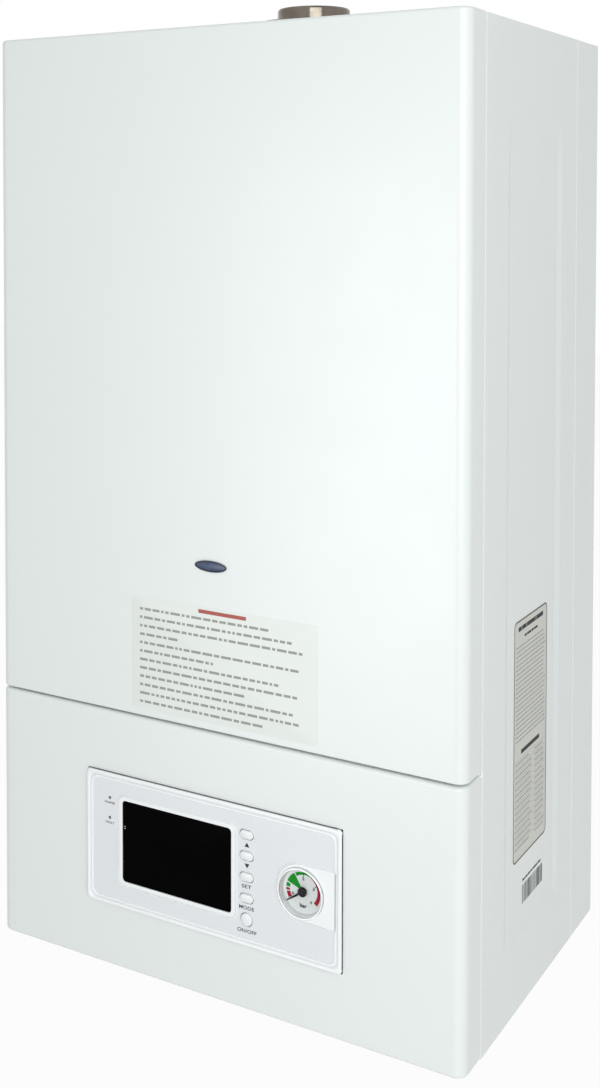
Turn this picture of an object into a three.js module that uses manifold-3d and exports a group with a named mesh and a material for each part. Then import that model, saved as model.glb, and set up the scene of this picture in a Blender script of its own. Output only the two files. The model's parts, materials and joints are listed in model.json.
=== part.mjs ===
// A wall-hung gas combi boiler: casing, drop-down control panel, fan-assisted gas circuit and water circuit.
// Millimetres, +X right, +Y towards the wall, +Z up. Heights are first measured from the underside of the
// casing and depths from the wall; the finished group is then shifted so that its origin is the centre of the
// wall bracket's back face.
import * as THREE from 'three';
import { mergeVertices } from 'three/addons/utils/BufferGeometryUtils.js';
import { ConvexGeometry } from 'three/addons/geometries/ConvexGeometry.js';
import Module from 'manifold-3d';

const wasm = await Module();
wasm.setup();

// ---- Driving dimensions ----

const seat = 0.3;                   // gap between pieces that rest on or fit into each other
const seam = 0.8;                   // visible joint between neighbouring casing panels

// Casing
const casingWidth = 400;
const casingDepth = 280;
const casingHeight = 720;
const sheet = 1.2;                  // panel sheet thickness
const coverDepth = 29;              // how far the front cover and the fascia reach round the sides
const coverCorner = 8.5;            // plan radius of their vertical corners
const coverEdge = 2.5;              // rounding of their top and bottom edges
const coverRise = 1;                // front cover stands this much above the side panels
const splitHeight = 200.5;          // middle of the joint between the front cover and the fascia
const splitGap = 2;
const panelFlange = 12;             // inward fold at the front edge of each side panel

// Rear frame and wall bracket
const frameDepth = 53;
const frameSheet = 1.5;
const hangDrop = 50;                // wall bracket's centre below the top of the casing
const pocketWidth = 330;
const pocketHeight = 60;
const pocketDepth = 12;
const bracketWidth = 300;
const bracketHeight = 40;
const bracketSheet = 2;
const bracketScrewSpacing = 240;
const bracketScrewHole = 8;
const hookSpacing = 170;
const hookWidth = 30;
const hookReach = 8;                // from the pocket's floor to the upturned tip
const hookRise = 12;
const armSpacing = 224;             // the two arms that carry the combustion chamber
const armHeight = 16;
const armSheet = 4;

// Pressed recess in each side panel
const recessDepth = 2.5;
const recessSlope = 10;
const recessFront = 207;            // from the wall
const recessBack = 88;
const recessFoot = 50;
const recessTopGap = 60;

// Control panel moulding, measured on the front of the fascia
const bezelWidth = 221.5;
const bezelHeight = 103.2;
const bezelX = -1.8;
const bezelZ = 100.4;
const bezelCorner = 3;
const rimWidth = 5.5;
const rimHeight = 3;                // rim above the fascia
const faceHeight = 1.6;             // face inside the rim, above the fascia
const faceCorner = 6;
const raisedHeight = 2.6;           // display surround and gauge surround, above the fascia
const mouldingWall = 2.4;
const mouldingDepth = 10;           // behind the fascia's front
const apertureClearance = 0.5;

const displayWidth = 97.6;
const displayHeight = 63;
const displayX = -30;
const displayZ = 101.6;
const displayCorner = 3;
const displayGlass = 2;
const displayLedge = 4;
const displaySetback = 0.6;         // window's front below the surround's
const surroundBorder = 4.3;
const surroundCorner = 6;

const buttonX = 31.5;
const buttonTopZ = 131.3;
const buttonPitch = 15.72;
const ovalWidth = 13.1;
const ovalHeight = 8.4;
const roundButton = 11.5;
const buttonHeight = 2.9;           // button face above the fascia
const buttonLip = 1.2;
const buttonTravel = 1;
const buttonGap = 0.5;              // between a button's lip and the wall that keeps it in
const switchSize = 5;

const lampX = -91.3;
const lampTopZ = 132.3;
const lampPitch = 15.6;
const lampDiameter = 2;

// Pressure gauge
const gaugeX = 77.2;
const gaugeZ = 100;
const gaugeRing = 36.3;
const gaugeBody = 33.6;
const gaugeRingHeight = 5;          // ring above the fascia
const gaugeDepth = 18;              // body behind the fascia's front
const gaugeWall = 1.6;
const dialSheet = 0.8;
const dialDrop = 5.6;               // dial below the ring's front
const lensSheet = 1.2;
const needleLength = 15;
const needleTail = 5;
const needleWidth = 1.6;
const needleHub = 6.8;
const needleZero = 214.4;           // degrees from +X at 0 bar, seen from the front
const spindle = 2;
const tongueRadius = 21.5;          // raised surround round the gauge

// Control box behind the fascia, and the hinge that both drop down on
const boxWidth = 320;
const boxFoot = 12;
const boxTop = 172;
const boxWall = 2.5;
const boxClearance = 8;             // between the box and the water circuit behind it
const boardLeft = -105;
const boardRight = 52;
const boardFoot = 40;
const boardTop = 160;
const boardSheet = 1.6;
const boardSetback = 12;            // front of the board behind the fascia's front
const boardPost = 8;
const boardPitch = 10;              // places and sizes of the board's parts, from its lower left
const boardParts = [                // transformer, two relays, mains filter, ignition unit, plug row
  { x: 2.3, z: 8.8, width: 3, height: 4, depth: 3.4 },
  { x: 6.5, z: 9.4, width: 2.4, height: 2.6, depth: 1.8 },
  { x: 9.5, z: 9.4, width: 2.4, height: 2.6, depth: 1.8 },
  { x: 12.7, z: 9.4, width: 2, height: 2.6, depth: 2.6 },
  { x: 2.5, z: 3.2, width: 3.4, height: 3, depth: 2.4 },
  { x: 8.5, z: 3, width: 5.2, height: 1.4, depth: 1.2 },
];
const hingeSetback = 18;            // hinge axis behind the fascia's front
const hingeHeight = 6;
const hingePin = 4;
const hingeEarInset = 16;           // inner face of the fixed ear from the casing's side
const earSheet = 2;
const earHalf = 6;
const earPlay = 1.6;                // between the fixed ear and the fascia's own
const hingeFoot = 22;
const pinHead = 7;

// Oval sight glass in the front cover
const sightWidth = 27.3;
const sightHeight = 8.4;
const sightRise = 62;               // above the combustion chamber's foot
const sightThickness = 3;
const sightRim = 1;                 // lens above the cover's face
const sightLap = 3;                 // how much larger the rim is than the hole

// Flue outlet and air inlet on top
const flueBack = 120;               // axis from the wall
const flueDiameter = 59.4;
const flueWall = 1.2;
const flueRise = 29.5;              // above the casing
const intakeDiameter = 99.6;
const intakeWall = 1.5;
const intakeRise = 17.4;
const intakeFlange = 124;
const intakeWebs = 3;
const webSheet = 3;
const spigotSocket = 24;            // spigot below the top of the casing

// Gas side, stacked downwards from the top of the casing
const fanDrop = 120;                // fan axis below the top of the casing
const fanRadius = 58;
const fanDepth = 56;
const fanWall = 1.5;
const fanInlet = 64;
const fanOutletDrop = 40;           // flat top of the scroll's outlet below the top of the casing
const fanOutletTubeDrop = 5;
const impellerRadius = 46;
const impellerBlades = 16;
const bladeWidth = 9;
const bladeSheet = 1.5;
const bladeAngle = 0.6;
const impellerHub = 12;
const fanShaft = 8;
const fanMotorDiameter = 68;
const fanMotorLength = 46;
const hoodHeight = 34;
const hoodSheet = 1.2;
const hoodMouth = 60;               // hood's flat top in front of the riser
const hoodPlinth = 4;
const hoodClearance = 6;            // under the fan
const riserWidth = 100;
const riserDepth = 28;
const riserTopGap = 55;             // riser's top below the top of the casing
const exchangerHeight = 60;
const exchangerFrame = 5;           // solid border round the fins
const exchangerGaps = 9;            // openings between the fins, for the hot gas
const finSheet = 3;
const exchangerTube = 16;
const exchangerTubes = 5;
const exchangerTubePitch = 25;
const firstTube = 17.5;             // from the combustion chamber's front
const exchangerBend = 6.5;          // radius of the return bends' section
const portReach = 13;
const chamberWidth = 230;
const chamberDepth = 150;
const chamberBack = 65;
const chamberWall = 5;
const chamberFoot = 262;
const burnerBlades = 12;
const burnerPitch = 15;
const burnerBlade = 7;
const burnerHeight = 44;
const burnerRail = 8;
const burnerRailRise = 20;
const burnerSetback = 2;            // from the combustion chamber's wall and foot
const gasOpeningHeight = 20;
const manifoldBar = 14;
const manifoldInlet = 6;
const manifoldGap = 6;              // nozzles' reach from the bar to the burner
const nozzle = 5;
const electrodeX = 60;
const electrodeRise = 50;           // above the combustion chamber's foot
const electrodeBody = 9;
const electrodeRod = 2.4;
const electrodeTerminal = 4;
const electrodePlate = 24;
const electrodePlateSheet = 1.5;
const electrodeReach = 45;          // rod inside the chamber
const electrodeFront = 14;          // ceramic in front of the chamber
const switchBody = 58;              // air pressure switch
const switchDepth = 26;
const switchFoot = 8;
const switchNipple = 6;
const switchNippleReach = 12;
const switchFromSide = 76;
const switchBelowFan = 20;

// Water side, from the underside of the casing up
const stubSpacing = 65;
const stubBack = 100;
const stubLength = 38;              // below the casing
const bigStub = 26.4;
const smallStub = 21;
const stubWall = 3;
const stubNut = 8;
const panelHoleClearance = 2;
const blockFoot = 45;
const blockHeight = 50;
const blockDepth = 60;
const blockEnd = 22;                // block beyond the outer stub's axis
const waterway = 14;                // bores inside the blocks
const glandThread = 16;
const plateWidth = 170;
const plateDepth = 40;
const plateHeight = 60;
const pumpBody = 80;
const pumpDepth = 40;
const pumpAxisRise = 55;            // above the return block
const pumpNeck = 24;
const pumpNeckRise = 16;
const pumpWall = 3;
const pumpMotorDiameter = 76;
const pumpMotorLength = 56;
const diverterWidth = 44;
const diverterDepth = 40;
const diverterHeight = 58;
const diverterNeck = 26;
const diverterNeckHeight = 14;
const pumpShaft = 6;
const ventDiameter = 24;
const ventHeight = 40;
const vesselRadius = 150;
const vesselDepth = 48;
const vesselGap = 8;                // between the vessel and the back plate
const vesselZ = 390;
const vesselWall = 1.5;
const vesselRound = 14;
const vesselStud = 24;
const valveWidth = 70;
const valveHeight = 66;
const valveFoot = 120;
const pipe = 18;
const pipeWall = 1;
const pipeBend = 22;
const smallPipe = 10;
const gasPipe = 16;
const pipeReach = 155;              // vertical water pipes from the middle
const knobDiameter = 22;
const knobHeight = 24;
const knobGrip = 5;                 // diameter of the hollows round its rim
const knobStem = 8;
const stemDepth = 10;               // how far a knob's stem goes into the block
const reliefKnob = 26;
const reliefKnobHeight = 16;
const reliefBoss = 18;
const reliefReach = 20;             // boss in front of the block
const reliefX = 128;

// ---- Places worked out from them ----

const front = -casingDepth;
const coverBack = front + coverDepth;
const panelFront = coverBack + seam;
const sideX = casingWidth / 2;
const fasciaTop = splitHeight - splitGap / 2;
const coverFoot = splitHeight + splitGap / 2;
const coverTop = casingHeight + coverRise;
const hangLevel = casingHeight - hangDrop;
const flueY = -flueBack;
const fanX = fanDepth / 2 - fanRadius;      // so that the scroll runs tangentially into its outlet
const fanZ = casingHeight - fanDrop;
const hoodTop = fanZ - fanRadius - hoodClearance;
const hoodFoot = hoodTop - hoodHeight;
const exchangerTop = hoodFoot - seat;
const exchangerFoot = exchangerTop - exchangerHeight;
const exchangerMiddle = (exchangerFoot + exchangerTop) / 2;
const chamberTop = exchangerFoot - seat;
const chamberFront = -chamberBack - chamberDepth;
const tubeY = (i) => chamberFront + firstTube + i * exchangerTubePitch;
const flowPortY = tubeY(exchangerTubes - 1);
const returnPortY = tubeY(0);
const burnerFront = chamberFront + chamberWall + burnerSetback;
const burnerFoot = chamberFoot + burnerSetback;
const manifoldY = chamberFront - manifoldGap - manifoldBar / 2;
const manifoldZ = burnerFoot + manifoldBar / 2;
const stubY = -stubBack;
const fillX = 1.5 * stubSpacing;
const glandX = -casingWidth / 2 + 30;
const glandY = -60;
const blockTop = blockFoot + blockHeight;
const blockMiddle = blockFoot + blockHeight / 2;
const blockFront = stubY - blockDepth / 2;
const blockRear = stubY + blockDepth / 2;
const plateFront = blockFront - seat - plateDepth;
const boxBack = plateFront - boxClearance;
const boxFront = front + sheet + seat;
const hingeY = front + hingeSetback;
const hingeEarX = sideX - hingeEarInset;
const faceY = front - faceHeight;
const raisedY = front - raisedHeight;
const displayFrontY = raisedY + displaySetback;
const wallBackY = faceY + mouldingWall;
const boardY = front + boardSetback;
const gaugeFrontY = front - gaugeRingHeight;
const dialY = gaugeFrontY + dialDrop;
const gaugeBackY = front + gaugeDepth;
const sightZ = chamberFoot + sightRise;
const pumpX = 2 * stubSpacing;
const pumpZ = blockTop + pumpAxisRise;
const pumpY = stubY;
const pumpTop = pumpZ + pumpBody / 2 + pumpNeckRise;
const ventX = pumpX - pumpNeck / 2 - ventDiameter / 2 - 2;

// ---- Solids ----

// A closed three.js geometry as a solid that can be joined and cut.
function solid(geometry) {
  const bare = geometry.index ? geometry.toNonIndexed() : geometry.clone();
  for (const name of Object.keys(bare.attributes)) {
    if (name !== 'position') bare.deleteAttribute(name);
  }
  const welded = mergeVertices(bare, 1e-4);
  return new wasm.Manifold(new wasm.Mesh({
    numProp: 3,
    vertProperties: Float32Array.from(welded.attributes.position.array),
    triVerts: Uint32Array.from(welded.index.array),
  }));
}

function geometryOf(shape) {
  const mesh = shape.getMesh();
  const geometry = new THREE.BufferGeometry();
  geometry.setAttribute('position', new THREE.BufferAttribute(Float32Array.from(mesh.vertProperties), 3));
  geometry.setIndex(new THREE.BufferAttribute(Uint32Array.from(mesh.triVerts), 1));
  geometry.computeVertexNormals();
  return geometry;
}

const join = (...shapes) => shapes.reduce((whole, shape) => whole.add(shape));
const cut = (whole, ...tools) => tools.reduce((rest, tool) => rest.subtract(tool), whole);
const around = (centre, size) => [centre - size / 2, centre + size / 2];

// A box between the given limits.
function block(x, y, z) {
  const box = new THREE.BoxGeometry(x[1] - x[0], y[1] - y[0], z[1] - z[0]);
  box.translate((x[0] + x[1]) / 2, (y[0] + y[1]) / 2, (z[0] + z[1]) / 2);
  return solid(box);
}

// A flat-sided taper between a lower and an upper rectangle.
function taper(low, high, [zLow, zHigh]) {
  const points = [];
  for (const [rectangle, z] of [[low, zLow], [high, zHigh]]) {
    for (const x of rectangle[0]) {
      for (const y of rectangle[1]) points.push(new THREE.Vector3(x, y, z));
    }
  }
  return solid(new ConvexGeometry(points));
}

// Turns a geometry made round or along +Y to the named axis and moves it to its centre line.
function along(axis, geometry, at) {
  if (axis === 'x') geometry.rotateZ(-Math.PI / 2).translate(0, at[0], at[1]);
  if (axis === 'y') geometry.translate(at[0], 0, at[1]);
  if (axis === 'z') geometry.rotateX(Math.PI / 2).translate(at[0], at[1], 0);
  return geometry;
}

// A round bar along an axis; at is its centre line in the other two coordinates, in X, Y, Z order.
function bar(axis, diameter, span, at, sides = 20) {
  const radius = diameter / 2;
  const cylinder = new THREE.CylinderGeometry(radius, radius, span[1] - span[0], sides);
  cylinder.translate(0, (span[0] + span[1]) / 2, 0);
  return solid(along(axis, cylinder, at));
}

function tube(axis, outer, inner, span, at, sides = 20) {
  const bore = bar(axis, inner, [span[0] - 1, span[1] + 1], at, sides);
  return bar(axis, outer, span, at, sides).subtract(bore);
}

// A turned piece: its profile is a list of [radius, place along the axis] that starts and ends on the axis.
function turned(axis, profile, at, sides = 32) {
  const points = profile.map(([radius, place]) => new THREE.Vector2(radius, place));
  return solid(along(axis, new THREE.LatheGeometry(points, sides), at));
}

function roundedRectangle(x, z, radius) {
  const shape = new THREE.Shape();
  shape.absarc(x[1] - radius, z[1] - radius, radius, 0, Math.PI / 2);
  shape.absarc(x[0] + radius, z[1] - radius, radius, Math.PI / 2, Math.PI);
  shape.absarc(x[0] + radius, z[0] + radius, radius, Math.PI, 1.5 * Math.PI);
  shape.absarc(x[1] - radius, z[0] + radius, radius, 1.5 * Math.PI, 2 * Math.PI);
  return shape;
}

// An outline drawn on the front of the boiler, given a thickness between two depths.
function facing(shape, [yFront, yBack], curveSegments = 3) {
  const depth = yBack - yFront;
  const plate = new THREE.ExtrudeGeometry(shape, { depth, bevelEnabled: false, curveSegments });
  return solid(plate.rotateX(Math.PI / 2).translate(0, yBack, 0));
}

// A pipe's route: straight runs between corners, each corner rounded to the bend radius.
class Route extends THREE.Curve {
  constructor(corners, bend, steps = 3) {
    super();
    const points = corners.map((corner) => new THREE.Vector3(...corner));
    const directions = points.slice(1).map((point, i) => point.clone().sub(points[i]).normalize());
    this.stations = [{ point: points[0], tangent: directions[0] }];
    for (let i = 1; i < points.length - 1; i += 1) {
      const turn = directions[i - 1].angleTo(directions[i]);
      const reach = bend * Math.tan(turn / 2);
      const start = points[i].clone().addScaledVector(directions[i - 1], -reach);
      const normal = directions[i].clone().addScaledVector(directions[i - 1], -Math.cos(turn)).normalize();
      for (let k = 0; k <= steps; k += 1) {
        const angle = (turn * k) / steps;
        const point = start.clone().addScaledVector(directions[i - 1], bend * Math.sin(angle));
        point.addScaledVector(normal, bend * (1 - Math.cos(angle)));
        const tangent = directions[i - 1].clone().multiplyScalar(Math.cos(angle));
        tangent.addScaledVector(normal, Math.sin(angle));
        this.stations.push({ point, tangent });
      }
    }
    this.stations.push({ point: points.at(-1), tangent: directions.at(-1) });
  }

  station(share) {
    return this.stations[Math.round(share * (this.stations.length - 1))];
  }

  getPointAt(share, target = new THREE.Vector3()) {
    return target.copy(this.station(share).point);
  }

  getTangentAt(share, target = new THREE.Vector3()) {
    return target.copy(this.station(share).tangent);
  }
}

// A bent tube along a route, open at both ends.
function bentTube(corners, outer, wall, bend = pipeBend, sides = 8) {
  const route = new Route(corners, bend);
  const section = new THREE.Shape().absarc(0, 0, outer / 2, 0, 2 * Math.PI);
  section.holes.push(new THREE.Path().absarc(0, 0, outer / 2 - wall, 0, 2 * Math.PI, true));
  return solid(new THREE.ExtrudeGeometry(section, {
    extrudePath: route,
    steps: route.stations.length - 1,
    curveSegments: sides / 2,
    bevelEnabled: false,
  }));
}

// ---- Materials ----

const finish = (color, roughness, metalness = 0) => (
  new THREE.MeshStandardMaterial({ color, roughness, metalness }));
const enamel = finish(0xeef1f1, 0.35);
const whitePlastic = finish(0xe9e9ee, 0.45);
const blackGlass = finish(0x050506, 0.12);
const blueGlass = finish(0x1b2a6b, 0.15);
const greyPlastic = finish(0x55585c, 0.6);
const blackPlastic = finish(0x1c1d1f, 0.5);
const redPlastic = finish(0xb3261e, 0.45);
const clearGlass = finish(0xdfe6e8, 0.1);
const dialWhite = finish(0xf2f2ee, 0.6);
const gaugeMetal = finish(0x9b9c9c, 0.35, 0.6);
const zinc = finish(0xb8babb, 0.4, 0.9);
const nickel = finish(0x8d8478, 0.28, 1);
const copper = finish(0xb4693f, 0.35, 1);
const brass = finish(0xb8974f, 0.35, 1);
const aluminium = finish(0xb9bcbe, 0.4, 0.9);
const redEnamel = finish(0x9c2a22, 0.4);
const greenBoard = finish(0x1f5a38, 0.5);
const ceramic = finish(0xe8e2d4, 0.7);

const boiler = new THREE.Group();
boiler.position.z = -hangLevel;

function piece(name, shape, material) {
  const mesh = new THREE.Mesh(geometryOf(shape), material);
  mesh.name = name;
  boiler.add(mesh);
}

// ---- Casing ----

// The plan outline shared by the front cover and the fascia, set in by a wall.
function coverPlan(inset, back) {
  const half = sideX - inset;
  const y = front + inset;
  const radius = coverCorner - inset;
  const shape = new THREE.Shape();
  shape.moveTo(-half, back);
  shape.lineTo(-half, y + radius);
  shape.absarc(-half + radius, y + radius, radius, Math.PI, 1.5 * Math.PI);
  shape.absarc(half - radius, y + radius, radius, 1.5 * Math.PI, 2 * Math.PI);
  shape.lineTo(half, back);
  return shape;
}

// A folded tray, open at the back, with rounded corners and rounded top and bottom edges.
function coverTray([zLow, zHigh]) {
  const spare = 20;
  const body = (inset, back) => {
    const edge = coverEdge - inset;
    const block = new THREE.ExtrudeGeometry(coverPlan(inset, back), {
      depth: zHigh - zLow - 2 * inset - 2 * edge,
      bevelThickness: edge,
      bevelSize: edge,
      bevelOffset: -edge,
      bevelSegments: 2,
      curveSegments: 4,
    });
    return solid(block.translate(0, 0, zLow + inset + edge));
  };
  const open = [coverBack, coverBack + 3 * spare];
  const behind = block([-casingWidth, casingWidth], open, [zLow - 1, zHigh + 1]);
  return cut(body(0, coverBack + spare), body(sheet, coverBack + 2 * spare), behind);
}

function oval(width, height, x, z) {
  return roundedRectangle(around(x, width), around(z, height), height / 2);
}

function frontCover() {
  const hole = oval(sightWidth - sightLap, sightHeight - sightLap, 0, sightZ);
  return cut(coverTray([coverFoot, coverTop]), facing(hole, [front - 1, front + 5]));
}

// A lens with a rim on the cover's face and a plug through its hole.
function sightGlass() {
  const rim = facing(oval(sightWidth, sightHeight, 0, sightZ), [front - seat - sightRim, front - seat]);
  const inset = sightLap + 2 * seat;
  const plugOutline = oval(sightWidth - inset, sightHeight - inset, 0, sightZ);
  const plug = facing(plugOutline, [front - seat - sightRim, front + sightThickness]);
  return join(rim, plug);
}

// side is -1 on the left and 1 on the right.
function sidePanel(side) {
  const y = [panelFront, -frameDepth - seam];
  const z = [0, casingHeight];
  const acrossX = (outer, inner) => (side > 0 ? [inner, outer] : [-outer, -inner]);
  const press = (grow, depth) => {
    const yMouth = [-recessFront - grow, -recessBack + grow];
    const zMouth = [recessFoot - grow, casingHeight - recessTopGap + grow];
    const points = [];
    for (const [x, inset] of [[sideX + 1, -recessSlope / recessDepth], [sideX - depth, recessSlope]]) {
      for (const py of [yMouth[0] + inset, yMouth[1] - inset]) {
        for (const pz of [zMouth[0] + inset, zMouth[1] - inset]) {
          points.push(new THREE.Vector3(side * x, py, pz));
        }
      }
    }
    return solid(new ConvexGeometry(points));
  };
  const outside = block(acrossX(sideX + 2, sideX), y, z);
  const plate = block(acrossX(sideX, sideX - sheet), y, z);
  const fold = block(acrossX(sideX, sideX - panelFlange), [panelFront, panelFront + sheet], z);
  const dish = press(sheet, recessDepth + sheet).subtract(outside);
  return cut(join(plate, fold, dish), press(0, recessDepth));
}

function rearFrame() {
  const z = [0, casingHeight];
  const back = block([-sideX, sideX], [-frameSheet, 0], z);
  const returns = [-1, 1].map((side) => {
    const x = side > 0 ? [sideX - frameSheet, sideX] : [-sideX, frameSheet - sideX];
    return block(x, [-frameDepth, 0], z);
  });
  const pocket = (grow) => block(
    around(0, pocketWidth + 2 * grow),
    [-pocketDepth - grow, grow ? 0 : 1],
    around(hangLevel, pocketHeight + 2 * grow),
  );
  const slots = hookPlaces().map((x) => block(
    around(x, hookWidth + 4),
    [-pocketDepth - frameSheet - 1, 0],
    [hangLevel - bracketSheet - seat, hangLevel + hookRise + 4],
  ));
  const arms = [-1, 1].map((side) => block(
    around((side * armSpacing) / 2, armSheet),
    [chamberFront + chamberWall, 0],
    [chamberFoot - seat - armHeight, chamberFoot - seat],
  ));
  return cut(join(back, ...returns, pocket(frameSheet), ...arms), pocket(0), ...slots);
}

function hookPlaces() {
  return around(0, hookSpacing);
}

// A strip screwed to the wall, with two upturned hooks that the rear frame hangs on.
function wallBracket() {
  const strip = block(around(0, bracketWidth), [-bracketSheet, 0], around(hangLevel, bracketHeight));
  const tipY = -pocketDepth - frameSheet - hookReach;
  const foot = hangLevel - bracketSheet;
  const hooks = hookPlaces().flatMap((x) => [
    block(around(x, hookWidth), [tipY, 0], [foot, hangLevel]),
    block(around(x, hookWidth), [tipY, tipY + bracketSheet], [foot, hangLevel + hookRise]),
  ]);
  const holes = around(0, bracketScrewSpacing).map((x) => (
    bar('y', bracketScrewHole, [-bracketSheet - 1, 1], [x, hangLevel], 16)));
  return cut(join(strip, ...hooks), ...holes);
}

// The top and the bottom panel drop in between the side panels.
function deck([zLow, zHigh]) {
  const half = sideX - Math.max(sheet, frameSheet) - seat;
  return block([-half, half], [panelFront + sheet + seat, -frameSheet - seat], [zLow, zHigh]);
}

function topPanel() {
  const z = [casingHeight - sheet, casingHeight];
  const hole = bar('z', intakeDiameter - 2 * intakeWall, [z[0] - 1, z[1] + 1], [0, flueY], 32);
  return deck(z).subtract(hole);
}

function bottomPanel() {
  const hole = (diameter, x, y) => bar('z', diameter + panelHoleClearance, [-5, 5], [x, y], 12);
  return cut(
    deck([0, sheet]),
    ...stubs.map(({ diameter, place }) => hole(diameter, place * stubSpacing, stubY)),
    hole(knobStem, fillX, stubY),
    hole(glandThread, glandX, glandY),
  );
}

// ---- Control panel ----

function bezelOutline(inset, radius) {
  return roundedRectangle(
    around(bezelX, bezelWidth - 2 * inset),
    around(bezelZ, bezelHeight - 2 * inset),
    radius,
  );
}

const buttons = [
  { name: 'button_up', width: ovalWidth, height: ovalHeight },
  { name: 'button_down', width: ovalWidth, height: ovalHeight },
  { name: 'button_set', width: ovalWidth, height: ovalHeight },
  { name: 'button_mode', width: ovalWidth, height: ovalHeight },
  { name: 'button_on_off', width: roundButton, height: roundButton },
].map((button, i) => ({ ...button, z: buttonTopZ - i * buttonPitch }));

const lamps = [
  { name: 'power_lamp', z: lampTopZ },
  { name: 'fault_lamp', z: lampTopZ - lampPitch },
];

function controlFascia() {
  const hingeSide = (side) => {
    const inner = hingeEarX + earSheet + earPlay;
    const x = side > 0 ? [inner, inner + earSheet] : [-inner - earSheet, -inner];
    return block(x, [front + sheet / 2, hingeY + earHalf], [sheet / 2, hingeHeight + earHalf]);
  };
  const notch = (side) => {
    const reach = [hingeEarX - 2, hingeEarX + earSheet + earPlay - seat];
    const x = side > 0 ? reach : [-reach[1], -reach[0]];
    return block(x, [hingeY - 2 * earHalf, coverBack + 1], [-1, 2 * sheet]);
  };
  const pinSpan = around(0, casingWidth - 2 * coverCorner);
  const pinHole = bar('x', hingePin + 2 * seat, pinSpan, [hingeY, hingeHeight], 16);
  const relief = cut(
    block([-sideX - 1, sideX + 1], [hingeY, coverBack + 1], [-1, hingeHeight]),
    bar('x', 2 * (coverBack - hingeY) + 2 * seat, [-sideX - 2, sideX + 2], [hingeY, hingeHeight], 48),
  );
  const inset = rimWidth + apertureClearance - 1;
  const aperture = facing(bezelOutline(inset, bezelCorner), [front - 1, front + 5]);
  const ears = [-1, 1].map(hingeSide);
  const notches = [-1, 1].map(notch);
  return cut(join(coverTray([0, fasciaTop]), ...ears), pinHole, relief, aperture, ...notches);
}

function displayOutline(grow, radius) {
  const width = displayWidth + 2 * grow;
  const height = displayHeight + 2 * grow;
  return roundedRectangle(around(displayX, width), around(displayZ, height), radius);
}

// The raised surround of the gauge: round on the left, running into the rim on the right.
function tongueOutline() {
  const shape = new THREE.Shape();
  const right = bezelX + bezelWidth / 2 - rimWidth;
  shape.absarc(gaugeX, gaugeZ, tongueRadius, Math.PI / 2, 1.5 * Math.PI);
  shape.lineTo(right, gaugeZ - tongueRadius);
  shape.lineTo(right, gaugeZ + tongueRadius);
  return shape;
}

function controlBezel() {
  const rim = facing(bezelOutline(0, bezelCorner), [front - rimHeight, front - seat]);
  const sleeve = facing(bezelOutline(rimWidth, bezelCorner), [front - seat, front + mouldingDepth]);
  const sunk = facing(bezelOutline(rimWidth, faceCorner), [front - rimHeight - 1, faceY]);
  const hollowOutline = bezelOutline(rimWidth + mouldingWall, bezelCorner);
  const hollow = facing(hollowOutline, [wallBackY, front + mouldingDepth + 1]);
  const glassBackY = displayFrontY + displayGlass;
  const ledgeBackY = glassBackY + seat + mouldingWall / 2;
  const surround = facing(displayOutline(surroundBorder, surroundCorner), [raisedY, ledgeBackY]);
  const pocket = facing(displayOutline(seat, displayCorner), [raisedY - 1, glassBackY + seat]);
  const view = facing(displayOutline(-displayLedge, displayCorner), [raisedY, ledgeBackY + 1]);
  const tongue = facing(tongueOutline(), [raisedY, wallBackY], 8);
  const gaugeHole = bar('y', gaugeBody + 2 * seat, [raisedY - 5, wallBackY + 5], [gaugeX, gaugeZ], 32);
  const buttonHoles = buttons.map(({ width, height, z }) => (
    facing(oval(width + 2 * seat, height + 2 * seat, buttonX, z), [raisedY - 1, wallBackY + 1])));
  const lampHoles = lamps.map(({ z }) => (
    bar('y', lampDiameter + 2 * seat, [raisedY - 1, wallBackY + 1], [lampX, z], 12)));
  const body = join(cut(join(rim, sleeve), sunk, hollow), surround, tongue);
  return cut(body, pocket, view, gaugeHole, ...buttonHoles, ...lampHoles);
}

function displayWindow() {
  return facing(displayOutline(0, displayCorner), [displayFrontY, displayFrontY + displayGlass]);
}

function pushButton({ width, height, z }) {
  const lipY = wallBackY + buttonGap;
  const stem = facing(oval(width, height, buttonX, z), [front - buttonHeight, lipY]);
  const lipX = around(buttonX, width + 2 * buttonLip);
  const lipZ = around(z, height + 2 * buttonLip);
  return join(stem, block(lipX, [lipY, lipY + buttonLip], lipZ));
}

function lamp({ z }) {
  return bar('y', lampDiameter, [faceY - seat, boardY - seat], [lampX, z], 12);
}

function gaugeCase() {
  const ledgeY = dialY + dialSheet + seat;
  const bore = gaugeBody - 2 * gaugeWall;
  const body = bar('y', gaugeBody, [raisedY - seat, gaugeBackY], [gaugeX, gaugeZ], 32);
  const ring = bar('y', gaugeRing, [gaugeFrontY, raisedY - seat], [gaugeX, gaugeZ], 32);
  const mouth = bar('y', bore, [gaugeFrontY - 1, ledgeY], [gaugeX, gaugeZ], 32);
  const cavity = bar('y', bore - 2 * gaugeWall, [ledgeY - 1, gaugeBackY - gaugeWall], [gaugeX, gaugeZ], 32);
  const bearing = bar('y', spindle + seat, [ledgeY, gaugeBackY + 1], [gaugeX, gaugeZ], 16);
  return cut(join(body, ring), mouth, cavity, bearing);
}

function gaugeDial() {
  const disc = gaugeBody - 2 * gaugeWall - 2 * seat;
  return tube('y', disc, spindle + 2 * seat, [dialY, dialY + dialSheet], [gaugeX, gaugeZ], 32);
}

function gaugeLens() {
  const disc = gaugeBody - 2 * gaugeWall - 2 * seat;
  return bar('y', disc, [gaugeFrontY + lensSheet, gaugeFrontY + 2 * lensSheet], [gaugeX, gaugeZ], 32);
}

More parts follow.
